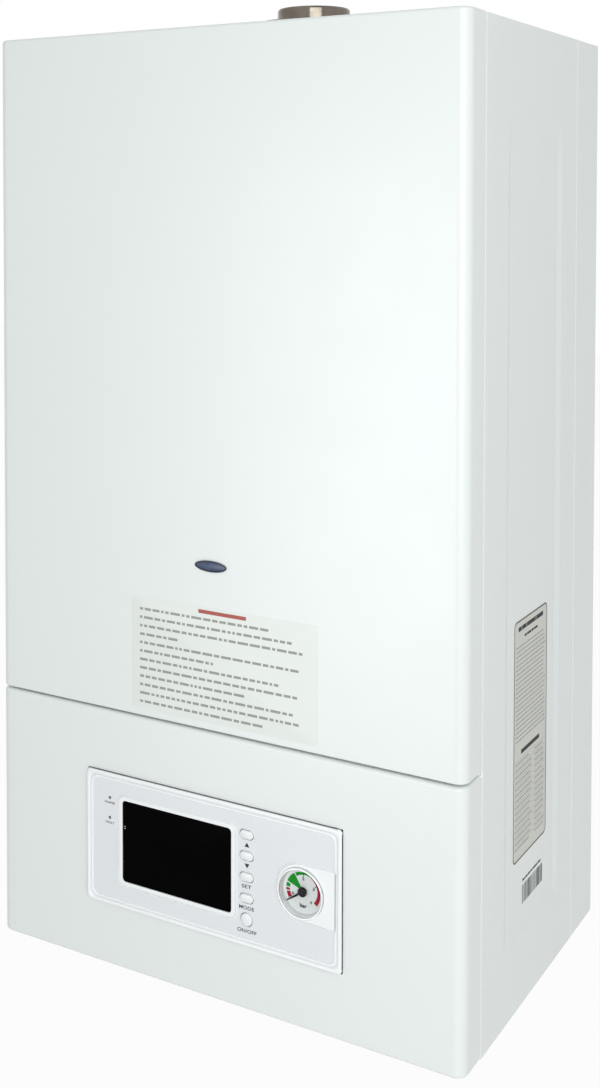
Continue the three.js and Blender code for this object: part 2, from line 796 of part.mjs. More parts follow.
// A pointer that reads 0 at rest, with its tail, hub and spindle.
function gaugeNeedle() {
  const bladeY = [dialY - 2.2, dialY - 1.6];
  const shape = new THREE.Shape();
  shape.moveTo(-needleTail, -needleWidth / 2);
  shape.lineTo(needleLength * 0.6, -needleWidth / 2);
  shape.lineTo(needleLength, 0);
  shape.lineTo(needleLength * 0.6, needleWidth / 2);
  shape.lineTo(-needleTail, needleWidth / 2);
  const turn = new THREE.Matrix4().makeRotationY(-THREE.MathUtils.degToRad(needleZero));
  const flat = new THREE.ExtrudeGeometry(shape, { depth: bladeY[1] - bladeY[0], bevelEnabled: false });
  flat.rotateX(Math.PI / 2).applyMatrix4(turn).translate(gaugeX, bladeY[1], gaugeZ);
  const hub = bar('y', needleHub, [bladeY[0] - 0.4, dialY - seat], [gaugeX, gaugeZ]);
  const pin = bar('y', spindle, [dialY - 1, gaugeBackY - seat], [gaugeX, gaugeZ], 16);
  return join(solid(flat), hub, pin);
}

function controlBox() {
  const x = around(0, boxWidth);
  const z = [boxFoot, boxTop];
  const inside = block(
    [x[0] + boxWall, x[1] - boxWall],
    [boxFront - 1, boxBack - boxWall],
    [z[0] + boxWall, z[1] - boxWall],
  );
  const post = boardPost;
  const boardBack = boardY + boardSheet + seat;
  const posts = [boardLeft + post, boardRight - post].flatMap((px) => (
    [boardFoot + post, boardTop - post].map((pz) => (
      bar('y', post, [boardBack, boxBack - boxWall / 2], [px, pz], 12)))));
  return join(cut(block(x, [boxFront, boxBack], z), inside), ...posts);
}

// The circuit board with its display panel, switches, relays and ignition transformer.
function controlBoard() {
  const board = block([boardLeft, boardRight], [boardY, boardY + boardSheet], [boardFoot, boardTop]);
  const panelY = displayFrontY + displayGlass + 2 * seat + mouldingWall / 2;
  const panel = block(
    around(displayX, displayWidth - displayLedge),
    [panelY, boardY + boardSheet / 2],
    around(displayZ, displayHeight - displayLedge),
  );
  const switchY = wallBackY + buttonGap + buttonLip + buttonTravel + seat;
  const switches = buttons.map(({ z }) => (
    block(around(buttonX, switchSize), [switchY, boardY + boardSheet / 2], around(z, switchSize))));
  const parts = boardParts.map(({ x, z, width, height, depth }) => block(
    around(boardLeft + x * boardPitch, width * boardPitch),
    [boardY + boardSheet / 2, boardY + boardSheet + depth * boardPitch],
    around(boardFoot + z * boardPitch, height * boardPitch),
  ));
  return join(board, panel, ...switches, ...parts);
}

// A fixed ear on the bottom panel with the pin that the fascia's own ear turns on.
function hingeBracket(side) {
  const span = (low, high) => (side > 0 ? [low, high] : [-high, -low]);
  const floor = sheet + seat;
  const base = block(
    span(hingeEarX - hingeFoot, hingeEarX + earSheet),
    [panelFront + sheet + 2 * seat, panelFront + hingeFoot],
    [floor, floor + earSheet],
  );
  const ear = block(
    span(hingeEarX, hingeEarX + earSheet),
    [hingeY - earHalf, panelFront + hingeFoot],
    [floor, hingeHeight + earHalf],
  );
  const beyond = hingeEarX + 2 * earSheet + earPlay;
  const centre = [hingeY, hingeHeight];
  const pin = bar('x', hingePin, span(hingeEarX + 1, beyond + earSheet), centre, 16);
  const head = bar('x', pinHead, span(beyond + seat, beyond + earSheet), centre, 16);
  return join(base, ear, pin, head);
}

// ---- Flue and gas circuit ----

function flueSpigot() {
  const span = [casingHeight - spigotSocket, casingHeight + flueRise];
  return tube('z', flueDiameter, flueDiameter - 2 * flueWall, span, [0, flueY], 32);
}

// The air inlet round the flue: a collar with a foot on the top panel and webs that steady the flue.
function intakeCollar() {
  const foot = casingHeight + seat;
  const bore = intakeDiameter - 2 * intakeWall;
  const wall = tube('z', intakeDiameter, bore, [foot, casingHeight + intakeRise], [0, flueY], 32);
  const flange = tube('z', intakeFlange, bore, [foot, foot + intakeWall], [0, flueY], 32);
  const sleeve = flueDiameter + 2 * seat;
  const webs = Array.from({ length: intakeWebs }, (_, i) => {
    const length = (intakeDiameter - intakeWall) / 2 - sleeve / 2;
    const web = new THREE.BoxGeometry(length, webSheet, intakeRise / 2);
    web.translate(sleeve / 2 + length / 2, 0, foot + intakeRise / 4);
    web.rotateZ((2 * Math.PI * i) / intakeWebs + Math.PI / 2).translate(0, flueY, 0);
    return solid(web);
  });
  const clearFlue = bar('z', sleeve, [foot - 1, casingHeight + flueRise], [0, flueY], 32);
  return cut(join(wall, flange, ...webs), clearFlue);
}

// A scroll with its inlet at the back, its outlet up into the flue and the motor's hole in front.
function fanHousing() {
  const y = around(flueY, fanDepth);
  const outletTop = casingHeight - fanOutletDrop;
  const tubeTop = casingHeight - fanOutletTubeDrop;
  const wallCut = fanWall + 1;
  const outlet = flueDiameter - 2 * (flueWall + seat);
  const body = (inset, extra) => join(
    bar('y', 2 * (fanRadius - inset), [y[0] + inset, y[1] - inset], [fanX, fanZ], 28),
    block(around(0, fanDepth - 2 * inset), [y[0] + inset, y[1] - inset], [fanZ, outletTop - inset]),
    bar('z', outlet - 2 * inset, [outletTop - wallCut, tubeTop + extra], [0, flueY]),
  );
  const inlet = bar('y', fanInlet, [y[1] - wallCut, y[1] + 1], [fanX, fanZ]);
  const shaftHole = bar('y', fanShaft + 4, [y[0] - 1, y[0] + wallCut], [fanX, fanZ], 16);
  return cut(body(0, 0), body(fanWall, 1), inlet, shaftHole);
}

function fanImpeller() {
  const housing = around(flueY, fanDepth - 2 * fanWall);
  const y = [housing[0] + 4, housing[1] - 6];
  const centre = [fanX, fanZ];
  const disc = bar('y', 2 * impellerRadius, [y[0], y[0] + bladeSheet], centre);
  const eye = 2 * (impellerRadius - bladeWidth);
  const ring = tube('y', 2 * impellerRadius, eye, [y[1] - bladeSheet, y[1]], centre);
  const hub = bar('y', 3 * fanShaft, [y[0], y[0] + impellerHub], centre, 16);
  const shaftEnd = flueY - fanDepth / 2 - fanMotorLength / 2;
  const shaft = bar('y', fanShaft, [shaftEnd, y[0] + impellerHub], centre, 16);
  const blades = Array.from({ length: impellerBlades }, (_, i) => {
    const blade = new THREE.BoxGeometry(bladeWidth, y[1] - y[0] - bladeSheet, bladeSheet);
    blade.rotateY(bladeAngle).translate(impellerRadius - 5, (y[0] + y[1]) / 2, 0);
    blade.rotateY((2 * Math.PI * i) / impellerBlades).translate(fanX, 0, fanZ);
    return solid(blade);
  });
  return join(disc, ring, hub, shaft, ...blades);
}

function fanMotor() {
  const back = flueY - fanDepth / 2 - seat;
  const y = [back - fanMotorLength, back];
  const centre = [fanX, fanZ];
  const can = bar('y', fanMotorDiameter, [y[0], back - 6], centre, 24);
  const footX = around(fanX, fanMotorDiameter + 12);
  const foot = block(footX, [back - 6, back], around(fanZ, fanMotorDiameter * 0.5));
  const fanBore = bar('y', fanShaft + 2 * seat, [back - fanMotorLength / 2 - 2, back + 1], centre, 16);
  return cut(join(can, foot), fanBore);
}

// A tapered collector over the heat exchanger and a riser behind the fan's inlet.
function flueHood() {
  const riserFront = flueY + fanDepth / 2 + seat;
  const body = (inset, under) => {
    const low = [around(0, chamberWidth - 2 * inset), [chamberFront + inset, -chamberBack - inset]];
    const highX = around(fanX, riserWidth - 2 * inset);
    const high = [highX, [riserFront - hoodMouth + inset, riserFront + riserDepth - inset]];
    const riser = block(
      highX,
      [riserFront + inset, riserFront + riserDepth - inset],
      [hoodTop - hoodHeight / 2, casingHeight - riserTopGap - inset],
    );
    const plinth = block(low[0], low[1], [hoodFoot - under, hoodFoot + hoodPlinth]);
    return join(taper(low, high, [hoodFoot + hoodPlinth - 1, hoodTop - inset]), plinth, riser);
  };
  const inlet = bar('y', fanInlet, [riserFront - 1, riserFront + 5], [fanX, fanZ]);
  return cut(body(0, 0), body(hoodSheet, 1), inlet);
}

// Upright copper fins in a frame, open to the hot gas, with five water tubes through them whose ends are
// joined by return bends. The tube at the back leaves on the left and the one in front enters on the right.
function heatExchanger() {
  const z = [exchangerFoot, exchangerTop];
  const half = chamberWidth / 2;
  const core = block([-half, half], [chamberFront, -chamberBack], z);
  const pitch = (chamberWidth - 2 * exchangerFrame + finSheet) / exchangerGaps;
  const gaps = Array.from({ length: exchangerGaps }, (_, i) => block(
    around((i - (exchangerGaps - 1) / 2) * pitch, pitch - finSheet),
    [chamberFront + exchangerFrame, -chamberBack - exchangerFrame],
    [z[0] - 1, z[1] + 1],
  ));
  const tubes = Array.from({ length: exchangerTubes }, (_, i) => (
    bar('x', exchangerTube, [1 - half, half - 1], [tubeY(i), exchangerMiddle], 6)));
  const bends = Array.from({ length: exchangerTubes - 1 }, (_, i) => {
    const side = i % 2 ? 1 : -1;
    const ring = new THREE.TorusGeometry(exchangerTubePitch / 2, exchangerBend, 6, 10);
    const outside = around(side * (half + exchangerTubePitch), 2 * exchangerTubePitch + 1);
    return solid(ring.translate(side * half, tubeY(i + 0.5), exchangerMiddle))
      .intersect(block(outside, [chamberFront, -chamberBack], z));
  });
  const ports = [
    bar('x', exchangerTube, [-half - portReach, 1 - half], [flowPortY, exchangerMiddle], 16),
    bar('x', exchangerTube, [half - 1, half + portReach], [returnPortY, exchangerMiddle], 16),
  ];
  return join(cut(core, ...gaps), ...tubes, ...bends, ...ports);
}

function combustionChamber() {
  const z = [chamberFoot, chamberTop];
  const y = [chamberFront, -chamberBack];
  const through = [y[0] - 1, y[0] + chamberWall + 1];
  const inX = around(0, chamberWidth - 2 * chamberWall);
  const inY = [y[0] + chamberWall, y[1] - chamberWall];
  const shell = block(around(0, chamberWidth), y, z).subtract(block(inX, inY, [z[0] - 1, z[1] + 1]));
  const gasX = around(0, chamberWidth - 3 * chamberWall);
  const gasOpening = block(gasX, through, [z[0] - 1, z[0] + gasOpeningHeight]);
  const window = facing(oval(sightWidth, sightHeight, 0, sightZ), through, 5);
  const electrodeAt = [electrodeX, chamberFoot + electrodeRise];
  const electrodeHole = bar('y', electrodeBody + 2 * seat, through, electrodeAt, 12);
  return cut(shell, gasOpening, window, electrodeHole);
}

// A row of upright blades held between a front and a rear rail.
function burner() {
  const reach = (burnerBlades - 1) * burnerPitch + burnerBlade;
  const y = [burnerFront, -chamberBack - chamberWall - seat];
  const z = [burnerFoot, burnerFoot + burnerHeight];
  const railWidth = Math.max(reach, chamberWidth - 2 * chamberWall - 2 * seat);
  const railZ = [z[0] + burnerRailRise, z[0] + burnerRailRise + burnerRail];
  const blades = Array.from({ length: burnerBlades }, (_, i) => (
    block(around((i - (burnerBlades - 1) / 2) * burnerPitch, burnerBlade), y, z)));
  const rails = [[y[0], y[0] + burnerRail], [y[1] - burnerRail, y[1]]].map((yRail) => (
    block(around(0, railWidth), yRail, railZ)));
  return join(...blades, ...rails);
}

// The bar that feeds one nozzle into the foot of each blade.
function gasManifold() {
  const z = around(manifoldZ, manifoldBar);
  const y = [manifoldY - manifoldBar / 2, manifoldY + manifoldBar / 2];
  const length = (burnerBlades - 1) * burnerPitch + 3 * nozzle;
  const nozzles = Array.from({ length: burnerBlades }, (_, i) => {
    const x = (i - (burnerBlades - 1) / 2) * burnerPitch;
    return bar('y', nozzle, [y[1] - 1, burnerFront - seat], [x, manifoldZ], 6);
  });
  const inlet = bar('z', gasPipe, [z[0] - manifoldInlet, z[0] + 1], [0, manifoldY], 16);
  return join(block(around(0, length), y, z), ...nozzles, inlet);
}

function ignitionElectrode() {
  const z = chamberFoot + electrodeRise;
  const at = [electrodeX, z];
  const inside = chamberFront + chamberWall;
  const ceramicFront = chamberFront - electrodeFront;
  const body = bar('y', electrodeBody, [ceramicFront, inside + electrodeFront], at, 12);
  const plateY = [chamberFront - seat - electrodePlateSheet, chamberFront - seat];
  const plate = block(around(electrodeX, electrodePlate), plateY, around(z, electrodePlate * 0.6));
  const rod = bar('y', electrodeRod, [inside, inside + electrodeReach], at, 8);
  const terminal = bar('y', electrodeTerminal, [ceramicFront - electrodeBody, ceramicFront + 1], at, 8);
  return join(body, plate, rod, terminal);
}

function gasValve() {
  const z = [valveFoot, valveFoot + valveHeight];
  const body = block(around(0, valveWidth), around(stubY, blockDepth), z);
  const coil = (side) => bar('y', 26, [stubY - blockDepth / 2 - 26, stubY - blockDepth / 2 + 1],
    [side * valveWidth * 0.24, z[0] + valveHeight * 0.6], 20);
  const regulator = bar('x', 22, [valveWidth / 2 - 1, valveWidth / 2 + 18], [stubY, z[0] + 24], 16);
  const port = bar('z', gasPipe + 6, [z[1] - 1, z[1] + 6], [0, stubY], 6);
  return join(body, coil(-1), coil(1), regulator, port);
}

// From the gas valve's top to the manifold.
function gasFeed() {
  const start = valveFoot + valveHeight + 6 + seat;
  const end = manifoldZ - manifoldBar / 2 - manifoldInlet - seat;
  const level = (start + end) / 2;
  return bentTube([[0, stubY, start], [0, stubY, level], [0, manifoldY, level], [0, manifoldY, end]],
    gasPipe, pipeWall, 16);
}

function pressureSwitch() {
  const at = [sideX - switchFromSide, fanZ - switchBelowFan];
  const back = -frameSheet - seat;
  const rear = back - switchFoot;
  const face = rear - switchDepth;
  const body = bar('y', switchBody, [face, rear], at, 24);
  const foot = block(around(at[0], switchBody / 2), [rear - 1, back], around(at[1], switchBody * 0.7));
  const nipples = around(at[0], switchBody * 0.4).map((x) => (
    bar('y', switchNipple, [face - switchNippleReach, face + 1], [x, at[1]], 8)));
  return join(body, foot, ...nipples);
}

// ---- Water circuit ----

const stubs = [
  { name: 'heating_flow_stub', place: -2, diameter: bigStub },
  { name: 'hot_water_stub', place: -1, diameter: smallStub },
  { name: 'gas_stub', place: 0, diameter: bigStub },
  { name: 'cold_water_stub', place: 1, diameter: smallStub },
  { name: 'heating_return_stub', place: 2, diameter: bigStub },
];

// A connection through the bottom panel: a union nut and collar on the panel and a threaded end below it.
function connectionStub({ place, diameter }) {
  const top = (place === 0 ? valveFoot : blockFoot) - seat;
  const at = [place * stubSpacing, stubY];
  const collar = bar('z', diameter + 8, [sheet + seat, sheet + seat + stubNut], at, 6);
  return cut(
    join(bar('z', diameter, [-stubLength, top], at), collar),
    bar('z', diameter - 2 * stubWall, [-stubLength - 1, top + 1], at),
  );
}

// The brass blocks that the left and the right pair of stubs screw into. The outer stub's way runs straight
// up, and the inner one's turns forward to the plate heat exchanger.
function waterBlock(side) {
  const x = [stubSpacing - blockEnd, 2 * stubSpacing + blockEnd];
  const body = block(side > 0 ? x : [-x[1], -x[0]], around(stubY, blockDepth), [blockFoot, blockTop]);
  const ways = [
    bar('z', waterway, [blockFoot - 1, blockTop + 1], [side * 2 * stubSpacing, stubY], 16),
    bar('z', waterway, [blockFoot - 1, blockMiddle], [side * stubSpacing, stubY], 16),
    bar('y', waterway, [blockFront - 1, stubY + waterway / 2], [side * stubSpacing, blockMiddle], 16),
  ];
  if (side < 0) return cut(body, ...ways);
  const stemBore = knobStem + 2 * seat;
  const reach = stemDepth + 2;
  const bossFront = blockFront - reliefReach;
  const reliefAt = [reliefX, blockMiddle];
  const boss = bar('y', reliefBoss, [bossFront, blockFront + 1], reliefAt, 6);
  const reliefBore = bar('y', stemBore, [bossFront - 1, bossFront + reach], reliefAt, 16);
  const fillBore = bar('z', stemBore, [blockFoot - 1, blockFoot + reach], [fillX, stubY], 16);
  const feedAt = [2 * stubSpacing, blockMiddle];
  const vesselWay = bar('y', smallPipe - 2 * pipeWall, [stubY, blockRear + 1], feedAt, 16);
  return cut(join(body, boss), ...ways, fillBore, vesselWay, reliefBore);
}

// Turned by hand from below to top up the heating circuit.
function fillingKnob() {
  const top = -8;
  const z = [top - knobHeight, top];
  const grips = Array.from({ length: 6 }, (_, i) => {
    const angle = (Math.PI * i) / 3;
    const radius = knobDiameter / 2;
    const at = [fillX + Math.cos(angle) * radius, stubY + Math.sin(angle) * radius];
    return bar('z', knobGrip, [z[0] - 1, top - 6], at, 8);
  });
  const stem = bar('z', knobStem, [top - 1, blockFoot + stemDepth], [fillX, stubY], 16);
  return join(cut(bar('z', knobDiameter, z, [fillX, stubY]), ...grips), stem);
}

function reliefHandle() {
  const back = blockFront - reliefReach - seat;
  const y = [back - reliefKnobHeight, back];
  const at = [reliefX, blockMiddle];
  const disc = bar('y', reliefKnob, y, at, 20);
  const ridge = block(around(reliefX, 6), [y[0] - 4, y[0] + 1], around(blockMiddle, reliefKnob - 4));
  const stem = bar('y', knobStem, [y[1] - 1, y[1] + stemDepth], at, 16);
  return join(disc, ridge, stem);
}

function plateExchanger() {
  const y = [plateFront, plateFront + plateDepth];
  const z = around(blockMiddle, plateHeight);
  const plates = 8;
  const pitch = (plateDepth - 8) / plates;
  const grooves = Array.from({ length: plates }, (_, i) => {
    const yGroove = [y[0] + 4 + i * pitch, y[0] + 4 + (i + 0.5) * pitch];
    return cut(
      block(around(0, plateWidth + 2), yGroove, [z[0] - 1, z[1] + 1]),
      block(around(0, plateWidth - 4), [yGroove[0] - 1, yGroove[1] + 1], [z[0] + 2, z[1] - 2]),
    );
  });
  return cut(block(around(0, plateWidth), y, z), ...grooves);
}

function diverterMotor() {
  const x = -stubSpacing;
  const foot = blockTop + seat;
  const shoulder = foot + diverterNeckHeight;
  const neck = bar('z', diverterNeck, [foot, shoulder + 1], [x, stubY], 20);
  const headZ = [shoulder, foot + diverterHeight];
  const head = block(around(x, diverterWidth), around(stubY, diverterDepth), headZ);
  return join(neck, head);
}

// A volute, open in front for its rotor, with its inlet below and its outlet above.
function pumpCasing() {
  const y = [pumpY - pumpDepth / 2, pumpY + pumpDepth / 2];
  const at = [pumpX, pumpZ];
  const half = pumpBody / 2;
  const body = bar('y', pumpBody, y, at, 24);
  const necks = bar('z', pumpNeck, [blockTop + seat, pumpTop], [pumpX, pumpY], 16);
  const ventSeat = block([pumpX - half + 4, pumpX - 14], around(pumpY, 20), [pumpZ + 10, pumpZ + half]);
  const room = bar('y', pumpBody - 4 * pumpWall, [y[0] - 1, y[1] - pumpWall], at, 24);
  const bore = bar('z', pumpNeck - 2 * pumpWall, [blockTop, pumpTop + 1], [pumpX, pumpY], 16);
  return cut(join(body, necks, ventSeat), room, bore);
}

function pumpRotor() {
  const y = [pumpY - pumpDepth / 2 + 4, pumpY + pumpDepth / 2 - pumpWall - 3];
  const at = [pumpX, pumpZ];
  const disc = bar('y', pumpBody - 8 * pumpWall, [y[0], y[0] + 3], at, 24);
  const vanes = Array.from({ length: 6 }, (_, i) => {
    const vane = new THREE.BoxGeometry(20, y[1] - y[0], 2);
    vane.translate(14, (y[0] + y[1]) / 2, 0).rotateY((Math.PI * i) / 3 + 0.3).translate(pumpX, 0, pumpZ);
    return solid(vane);
  });
  const shaft = bar('y', pumpShaft, [pumpY - pumpDepth / 2 - pumpMotorLength / 2, y[1]], at, 16);
  return join(disc, ...vanes, shaft);
}

function pumpMotor() {
  const back = pumpY - pumpDepth / 2 - seat;
  const at = [pumpX, pumpZ];
  const can = bar('y', pumpMotorDiameter, [back - pumpMotorLength, back], at, 24);
  const terminalBox = block(
    around(pumpX, 44),
    [back - pumpMotorLength + 6, back - 14],
    [pumpZ + pumpMotorDiameter / 2 - 6, pumpZ + pumpMotorDiameter / 2 + 14],
  );
  const shaftBore = bar('y', pumpShaft + 2 * seat, [back - pumpMotorLength / 2 - 2, back + 1], at, 16);
  return cut(join(can, terminalBox), shaftBore);
}

function airVent() {
  const foot = pumpZ + pumpBody / 2 + seat;
  const at = [ventX, pumpY];
  const body = bar('z', ventDiameter, [foot, foot + ventHeight - 8], at, 20);
  return join(body, bar('z', ventDiameter / 2, [foot + ventHeight - 9, foot + ventHeight], at, 12));
}

// A flat round pressure vessel hung on the back plate by its central stud, with its water port below.
function expansionVessel() {
  const back = -frameSheet - vesselGap;
  const shell = (inset) => {
    const y = [back - vesselDepth + inset, back - inset];
    const shoulder = 0.3 * vesselRound;
    const r = vesselRadius - inset;
    return turned('y', [
      [0, y[0]],
      [r - 2 * vesselRound, y[0]],
      [r - 2 * shoulder, y[0] + shoulder],
      [r, y[0] + vesselRound],
      [r, y[1] - vesselRound],
      [r - 2 * shoulder, y[1] - shoulder],
      [r - 2 * vesselRound, y[1]],
      [0, y[1]],
    ], [0, vesselZ], 28);
  };
  const stud = bar('y', vesselStud, [back - vesselWall / 2, -frameSheet - seat], [0, vesselZ], 16);
  const foot = vesselZ - vesselRadius;
  const portSpan = [foot - 1, foot + 4 * vesselWall];
  const port = bar('z', smallPipe - 2 * pipeWall, portSpan, [0, back - vesselDepth / 2], 12);
  return cut(join(shell(0), stud), shell(vesselWall), port);
}

// From the vessel's lowest point to the back of the return block.
function vesselFeed() {
  const y = -frameSheet - vesselGap - vesselDepth / 2;
  const top = vesselZ - vesselRadius - seat;
  const x = 2 * stubSpacing;
  return bentTube([
    [0, y, top],
    [0, y, top - 40],
    [x, y, blockTop + 20],
    [x, y, blockMiddle],
    [x, blockRear + seat, blockMiddle],
  ], smallPipe, pipeWall, 12);
}

// From the heat exchanger's left port down to the flow block.
function flowPipe() {
  const x = -2 * stubSpacing;
  return bentTube([
    [-chamberWidth / 2 - portReach - seat, flowPortY, exchangerMiddle],
    [-pipeReach, flowPortY, exchangerMiddle],
    [-pipeReach, flowPortY, chamberFoot - 40],
    [x, stubY, chamberFoot - 90],
    [x, stubY, blockTop + seat],
  ], pipe, pipeWall);
}

// From the pump's outlet up to the heat exchanger's right port.
function returnPipe() {
  return bentTube([
    [pumpX, pumpY, pumpTop + seat],
    [pumpX, pumpY, chamberFoot - 20],
    [pipeReach, returnPortY, chamberFoot + 60],
    [pipeReach, returnPortY, exchangerMiddle],
    [chamberWidth / 2 + portReach + seat, returnPortY, exchangerMiddle],
  ], pipe, pipeWall);
}

// A nylon gland for the mains lead.
function cableGland() {
  const at = [glandX, glandY];
  const nut = bar('z', 24, [-8, -seat], at, 6);
  const dome = bar('z', 19, [-20, -7], at, 16);
  const thread = bar('z', glandThread, [-2, 12], at, 16);
  return cut(join(nut, dome, thread), bar('z', 8, [-21, 13], at, 16));
}

// ---- Assembly ----

piece('rear_frame', rearFrame(), enamel);
piece('wall_bracket', wallBracket(), zinc);
piece('left_side_panel', sidePanel(-1), enamel);
piece('right_side_panel', sidePanel(1), enamel);
piece('top_panel', topPanel(), enamel);
piece('bottom_panel', bottomPanel(), enamel);
piece('front_cover', frontCover(), enamel);
piece('sight_glass', sightGlass(), blueGlass);

piece('control_fascia', controlFascia(), enamel);
piece('control_bezel', controlBezel(), whitePlastic);
piece('display_window', displayWindow(), blackGlass);
for (const button of buttons) piece(button.name, pushButton(button), whitePlastic);
for (const entry of lamps) piece(entry.name, lamp(entry), greyPlastic);
piece('gauge_case', gaugeCase(), gaugeMetal);
piece('gauge_dial', gaugeDial(), dialWhite);
piece('gauge_needle', gaugeNeedle(), blackPlastic);
piece('gauge_lens', gaugeLens(), clearGlass);
piece('control_box', controlBox(), greyPlastic);
piece('control_board', controlBoard(), greenBoard);
piece('left_hinge_bracket', hingeBracket(-1), zinc);
piece('right_hinge_bracket', hingeBracket(1), zinc);

piece('flue_spigot', flueSpigot(), nickel);
piece('air_intake_collar', intakeCollar(), nickel);
piece('fan_housing', fanHousing(), aluminium);
piece('fan_impeller', fanImpeller(), zinc);
piece('fan_motor', fanMotor(), blackPlastic);
piece('flue_hood', flueHood(), aluminium);
piece('heat_exchanger', heatExchanger(), copper);
piece('combustion_chamber', combustionChamber(), zinc);
piece('burner', burner(), aluminium);
piece('gas_manifold', gasManifold(), brass);
piece('ignition_electrode', ignitionElectrode(), ceramic);
piece('gas_valve', gasValve(), aluminium);
piece('gas_pipe', gasFeed(), aluminium);
piece('air_pressure_switch', pressureSwitch(), blackPlastic);

for (const stub of stubs) piece(stub.name, connectionStub(stub), brass);
piece('flow_block', waterBlock(-1), brass);
piece('return_block', waterBlock(1), brass);
piece('filling_knob', fillingKnob(), blackPlastic);
piece('relief_knob', reliefHandle(), redPlastic);
piece('plate_heat_exchanger', plateExchanger(), aluminium);
piece('diverter_motor', diverterMotor(), whitePlastic);
piece('pump_body', pumpCasing(), brass);
piece('pump_rotor', pumpRotor(), blackPlastic);
piece('pump_motor', pumpMotor(), redEnamel);
piece('air_vent', airVent(), brass);
piece('expansion_vessel', expansionVessel(), redEnamel);
piece('vessel_pipe', vesselFeed(), copper);
piece('flow_pipe', flowPipe(), copper);
piece('return_pipe', returnPipe(), copper);
piece('cable_gland', cableGland(), blackPlastic);

export default boiler;
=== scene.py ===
"""A wall-hung gas combi boiler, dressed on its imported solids.

Lengths are metres, +X right, -Y towards the viewer, +Z up. Places come from the solids' own boxes; the
sizes and colours that a user would change are the properties of the groups below.
"""

import json
import math
from functools import cache

import bmesh
import bpy
import numpy as np
from bpy.props import FloatProperty, FloatVectorProperty, IntProperty, PointerProperty, StringProperty
from mathutils import Euler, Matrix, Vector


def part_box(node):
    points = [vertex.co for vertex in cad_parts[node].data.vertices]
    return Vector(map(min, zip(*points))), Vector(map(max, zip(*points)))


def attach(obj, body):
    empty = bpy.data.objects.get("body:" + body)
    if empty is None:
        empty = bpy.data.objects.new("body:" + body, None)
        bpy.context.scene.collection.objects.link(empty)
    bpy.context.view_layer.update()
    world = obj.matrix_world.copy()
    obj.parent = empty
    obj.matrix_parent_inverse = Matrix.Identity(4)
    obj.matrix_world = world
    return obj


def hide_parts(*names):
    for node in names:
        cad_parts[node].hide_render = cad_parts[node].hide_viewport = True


bl_info = {
    "name": "Combi boiler",
    "version": (1, 0, 0),
    "blender": (4, 5, 0),
    "location": "3D View > Sidebar > Boiler",
    "description": "Builds the casing, panel, flue, gas side and water side of a wall-hung boiler",
    "category": "Object",
}

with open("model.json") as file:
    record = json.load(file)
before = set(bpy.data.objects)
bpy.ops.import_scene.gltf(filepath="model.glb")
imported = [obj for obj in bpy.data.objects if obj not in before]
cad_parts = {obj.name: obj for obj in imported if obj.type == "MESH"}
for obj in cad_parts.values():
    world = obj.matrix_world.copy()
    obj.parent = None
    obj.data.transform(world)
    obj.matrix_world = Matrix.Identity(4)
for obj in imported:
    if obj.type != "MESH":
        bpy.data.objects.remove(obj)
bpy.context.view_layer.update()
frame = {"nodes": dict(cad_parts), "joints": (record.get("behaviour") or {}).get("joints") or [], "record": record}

MM = 0.001
RIGHT_ANGLE = math.pi / 2
WELD = 1e-6
COLLAPSED = 1e-7
TINY = 1e-9


class Extent:
    """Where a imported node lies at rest: its lowest and highest corner, its middle and its size."""

    def __init__(self, node):
        low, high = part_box(node)
        self.low = np.array(low)
        self.high = np.array(high)
        self.middle = (self.low + self.high) / 2
        self.size = self.high - self.low


COVER = Extent("front_cover")
FASCIA = Extent("control_fascia")
FOOT = FASCIA.low[2]
FRONT = COVER.low[1]
EAR_RADIUS = 6 * MM


# ---- Sizes and colours ----


def length(name, default, description):
    """A length in metres."""
    return FloatProperty(
        name=name, default=default, description=description, min=0.0, precision=5,
        subtype="DISTANCE", unit="LENGTH",
    )


def share(name, default, description):
    """A number from 0 to 1."""
    return FloatProperty(
        name=name, default=default, description=description, min=0.0, max=1.0, subtype="FACTOR"
    )


def colour(name, default, description):
    """A linear colour."""
    return FloatVectorProperty(
        name=name, default=default, description=description, min=0.0, max=1.0, size=3, subtype="COLOR"
    )


def bearing(name, degrees, description):
    """An angle, given in degrees."""
    return FloatProperty(
        name=name, default=math.radians(degrees), description=description, subtype="ANGLE", unit="ROTATION"
    )


def place(name, default, description):
    """A point in the scene."""
    return FloatVectorProperty(
        name=name, default=default, description=description, size=3, subtype="TRANSLATION", unit="LENGTH"
    )


def spread(name, default, description):
    """A width and a height."""
    return FloatVectorProperty(name=name, default=default, description=description, size=2, unit="LENGTH")


def power(name, default, description):
    """The power of a lamp."""
    return FloatProperty(name=name, default=default, description=description, min=0.0, unit="POWER")


class FinishSettings(bpy.types.PropertyGroup):
    """Colours and gloss of the finishes."""

    enamel: colour("Enamel", (0.80, 0.837, 0.822), "Powder coat of the casing")
    enamel_gloss: share("Enamel roughness", 0.3, "Roughness of the powder coat")
    moulding: colour("Moulding", (0.775, 0.79, 0.815), "White plastic of the control bezel")
    # A brighter copy of the moulding's white: painted highlight on the bezel's raised parts and the seam strips.
    rim: colour("Rim", (0.90, 0.91, 0.92), "Brighter white of the bezel's raised rims")
    button: colour("Buttons", (0.84, 0.85, 0.86), "White plastic of the buttons")
    screen: colour("Screen", (0.0006, 0.0006, 0.0008), "Display window")
    sight: colour("Sight glass", (0.032, 0.056, 0.118), "Lens of the sight glass")
    flue: colour("Flue", (0.20, 0.175, 0.145), "Nickel of the flue and air intake")
    copper: colour("Copper", (0.80, 0.36, 0.20), "Water pipes and heat exchanger")
    brass: colour("Brass", (0.72, 0.52, 0.22), "Water blocks and fittings")
    vessel: colour("Red enamel", (0.42, 0.025, 0.02), "Expansion vessel and pump motor")
    paper: colour("Sticker", (0.79, 0.82, 0.78), "Ground of the sticker on the cover")
    plate_paper: colour("Data label", (0.62, 0.62, 0.57), "Ground of the label on the side")


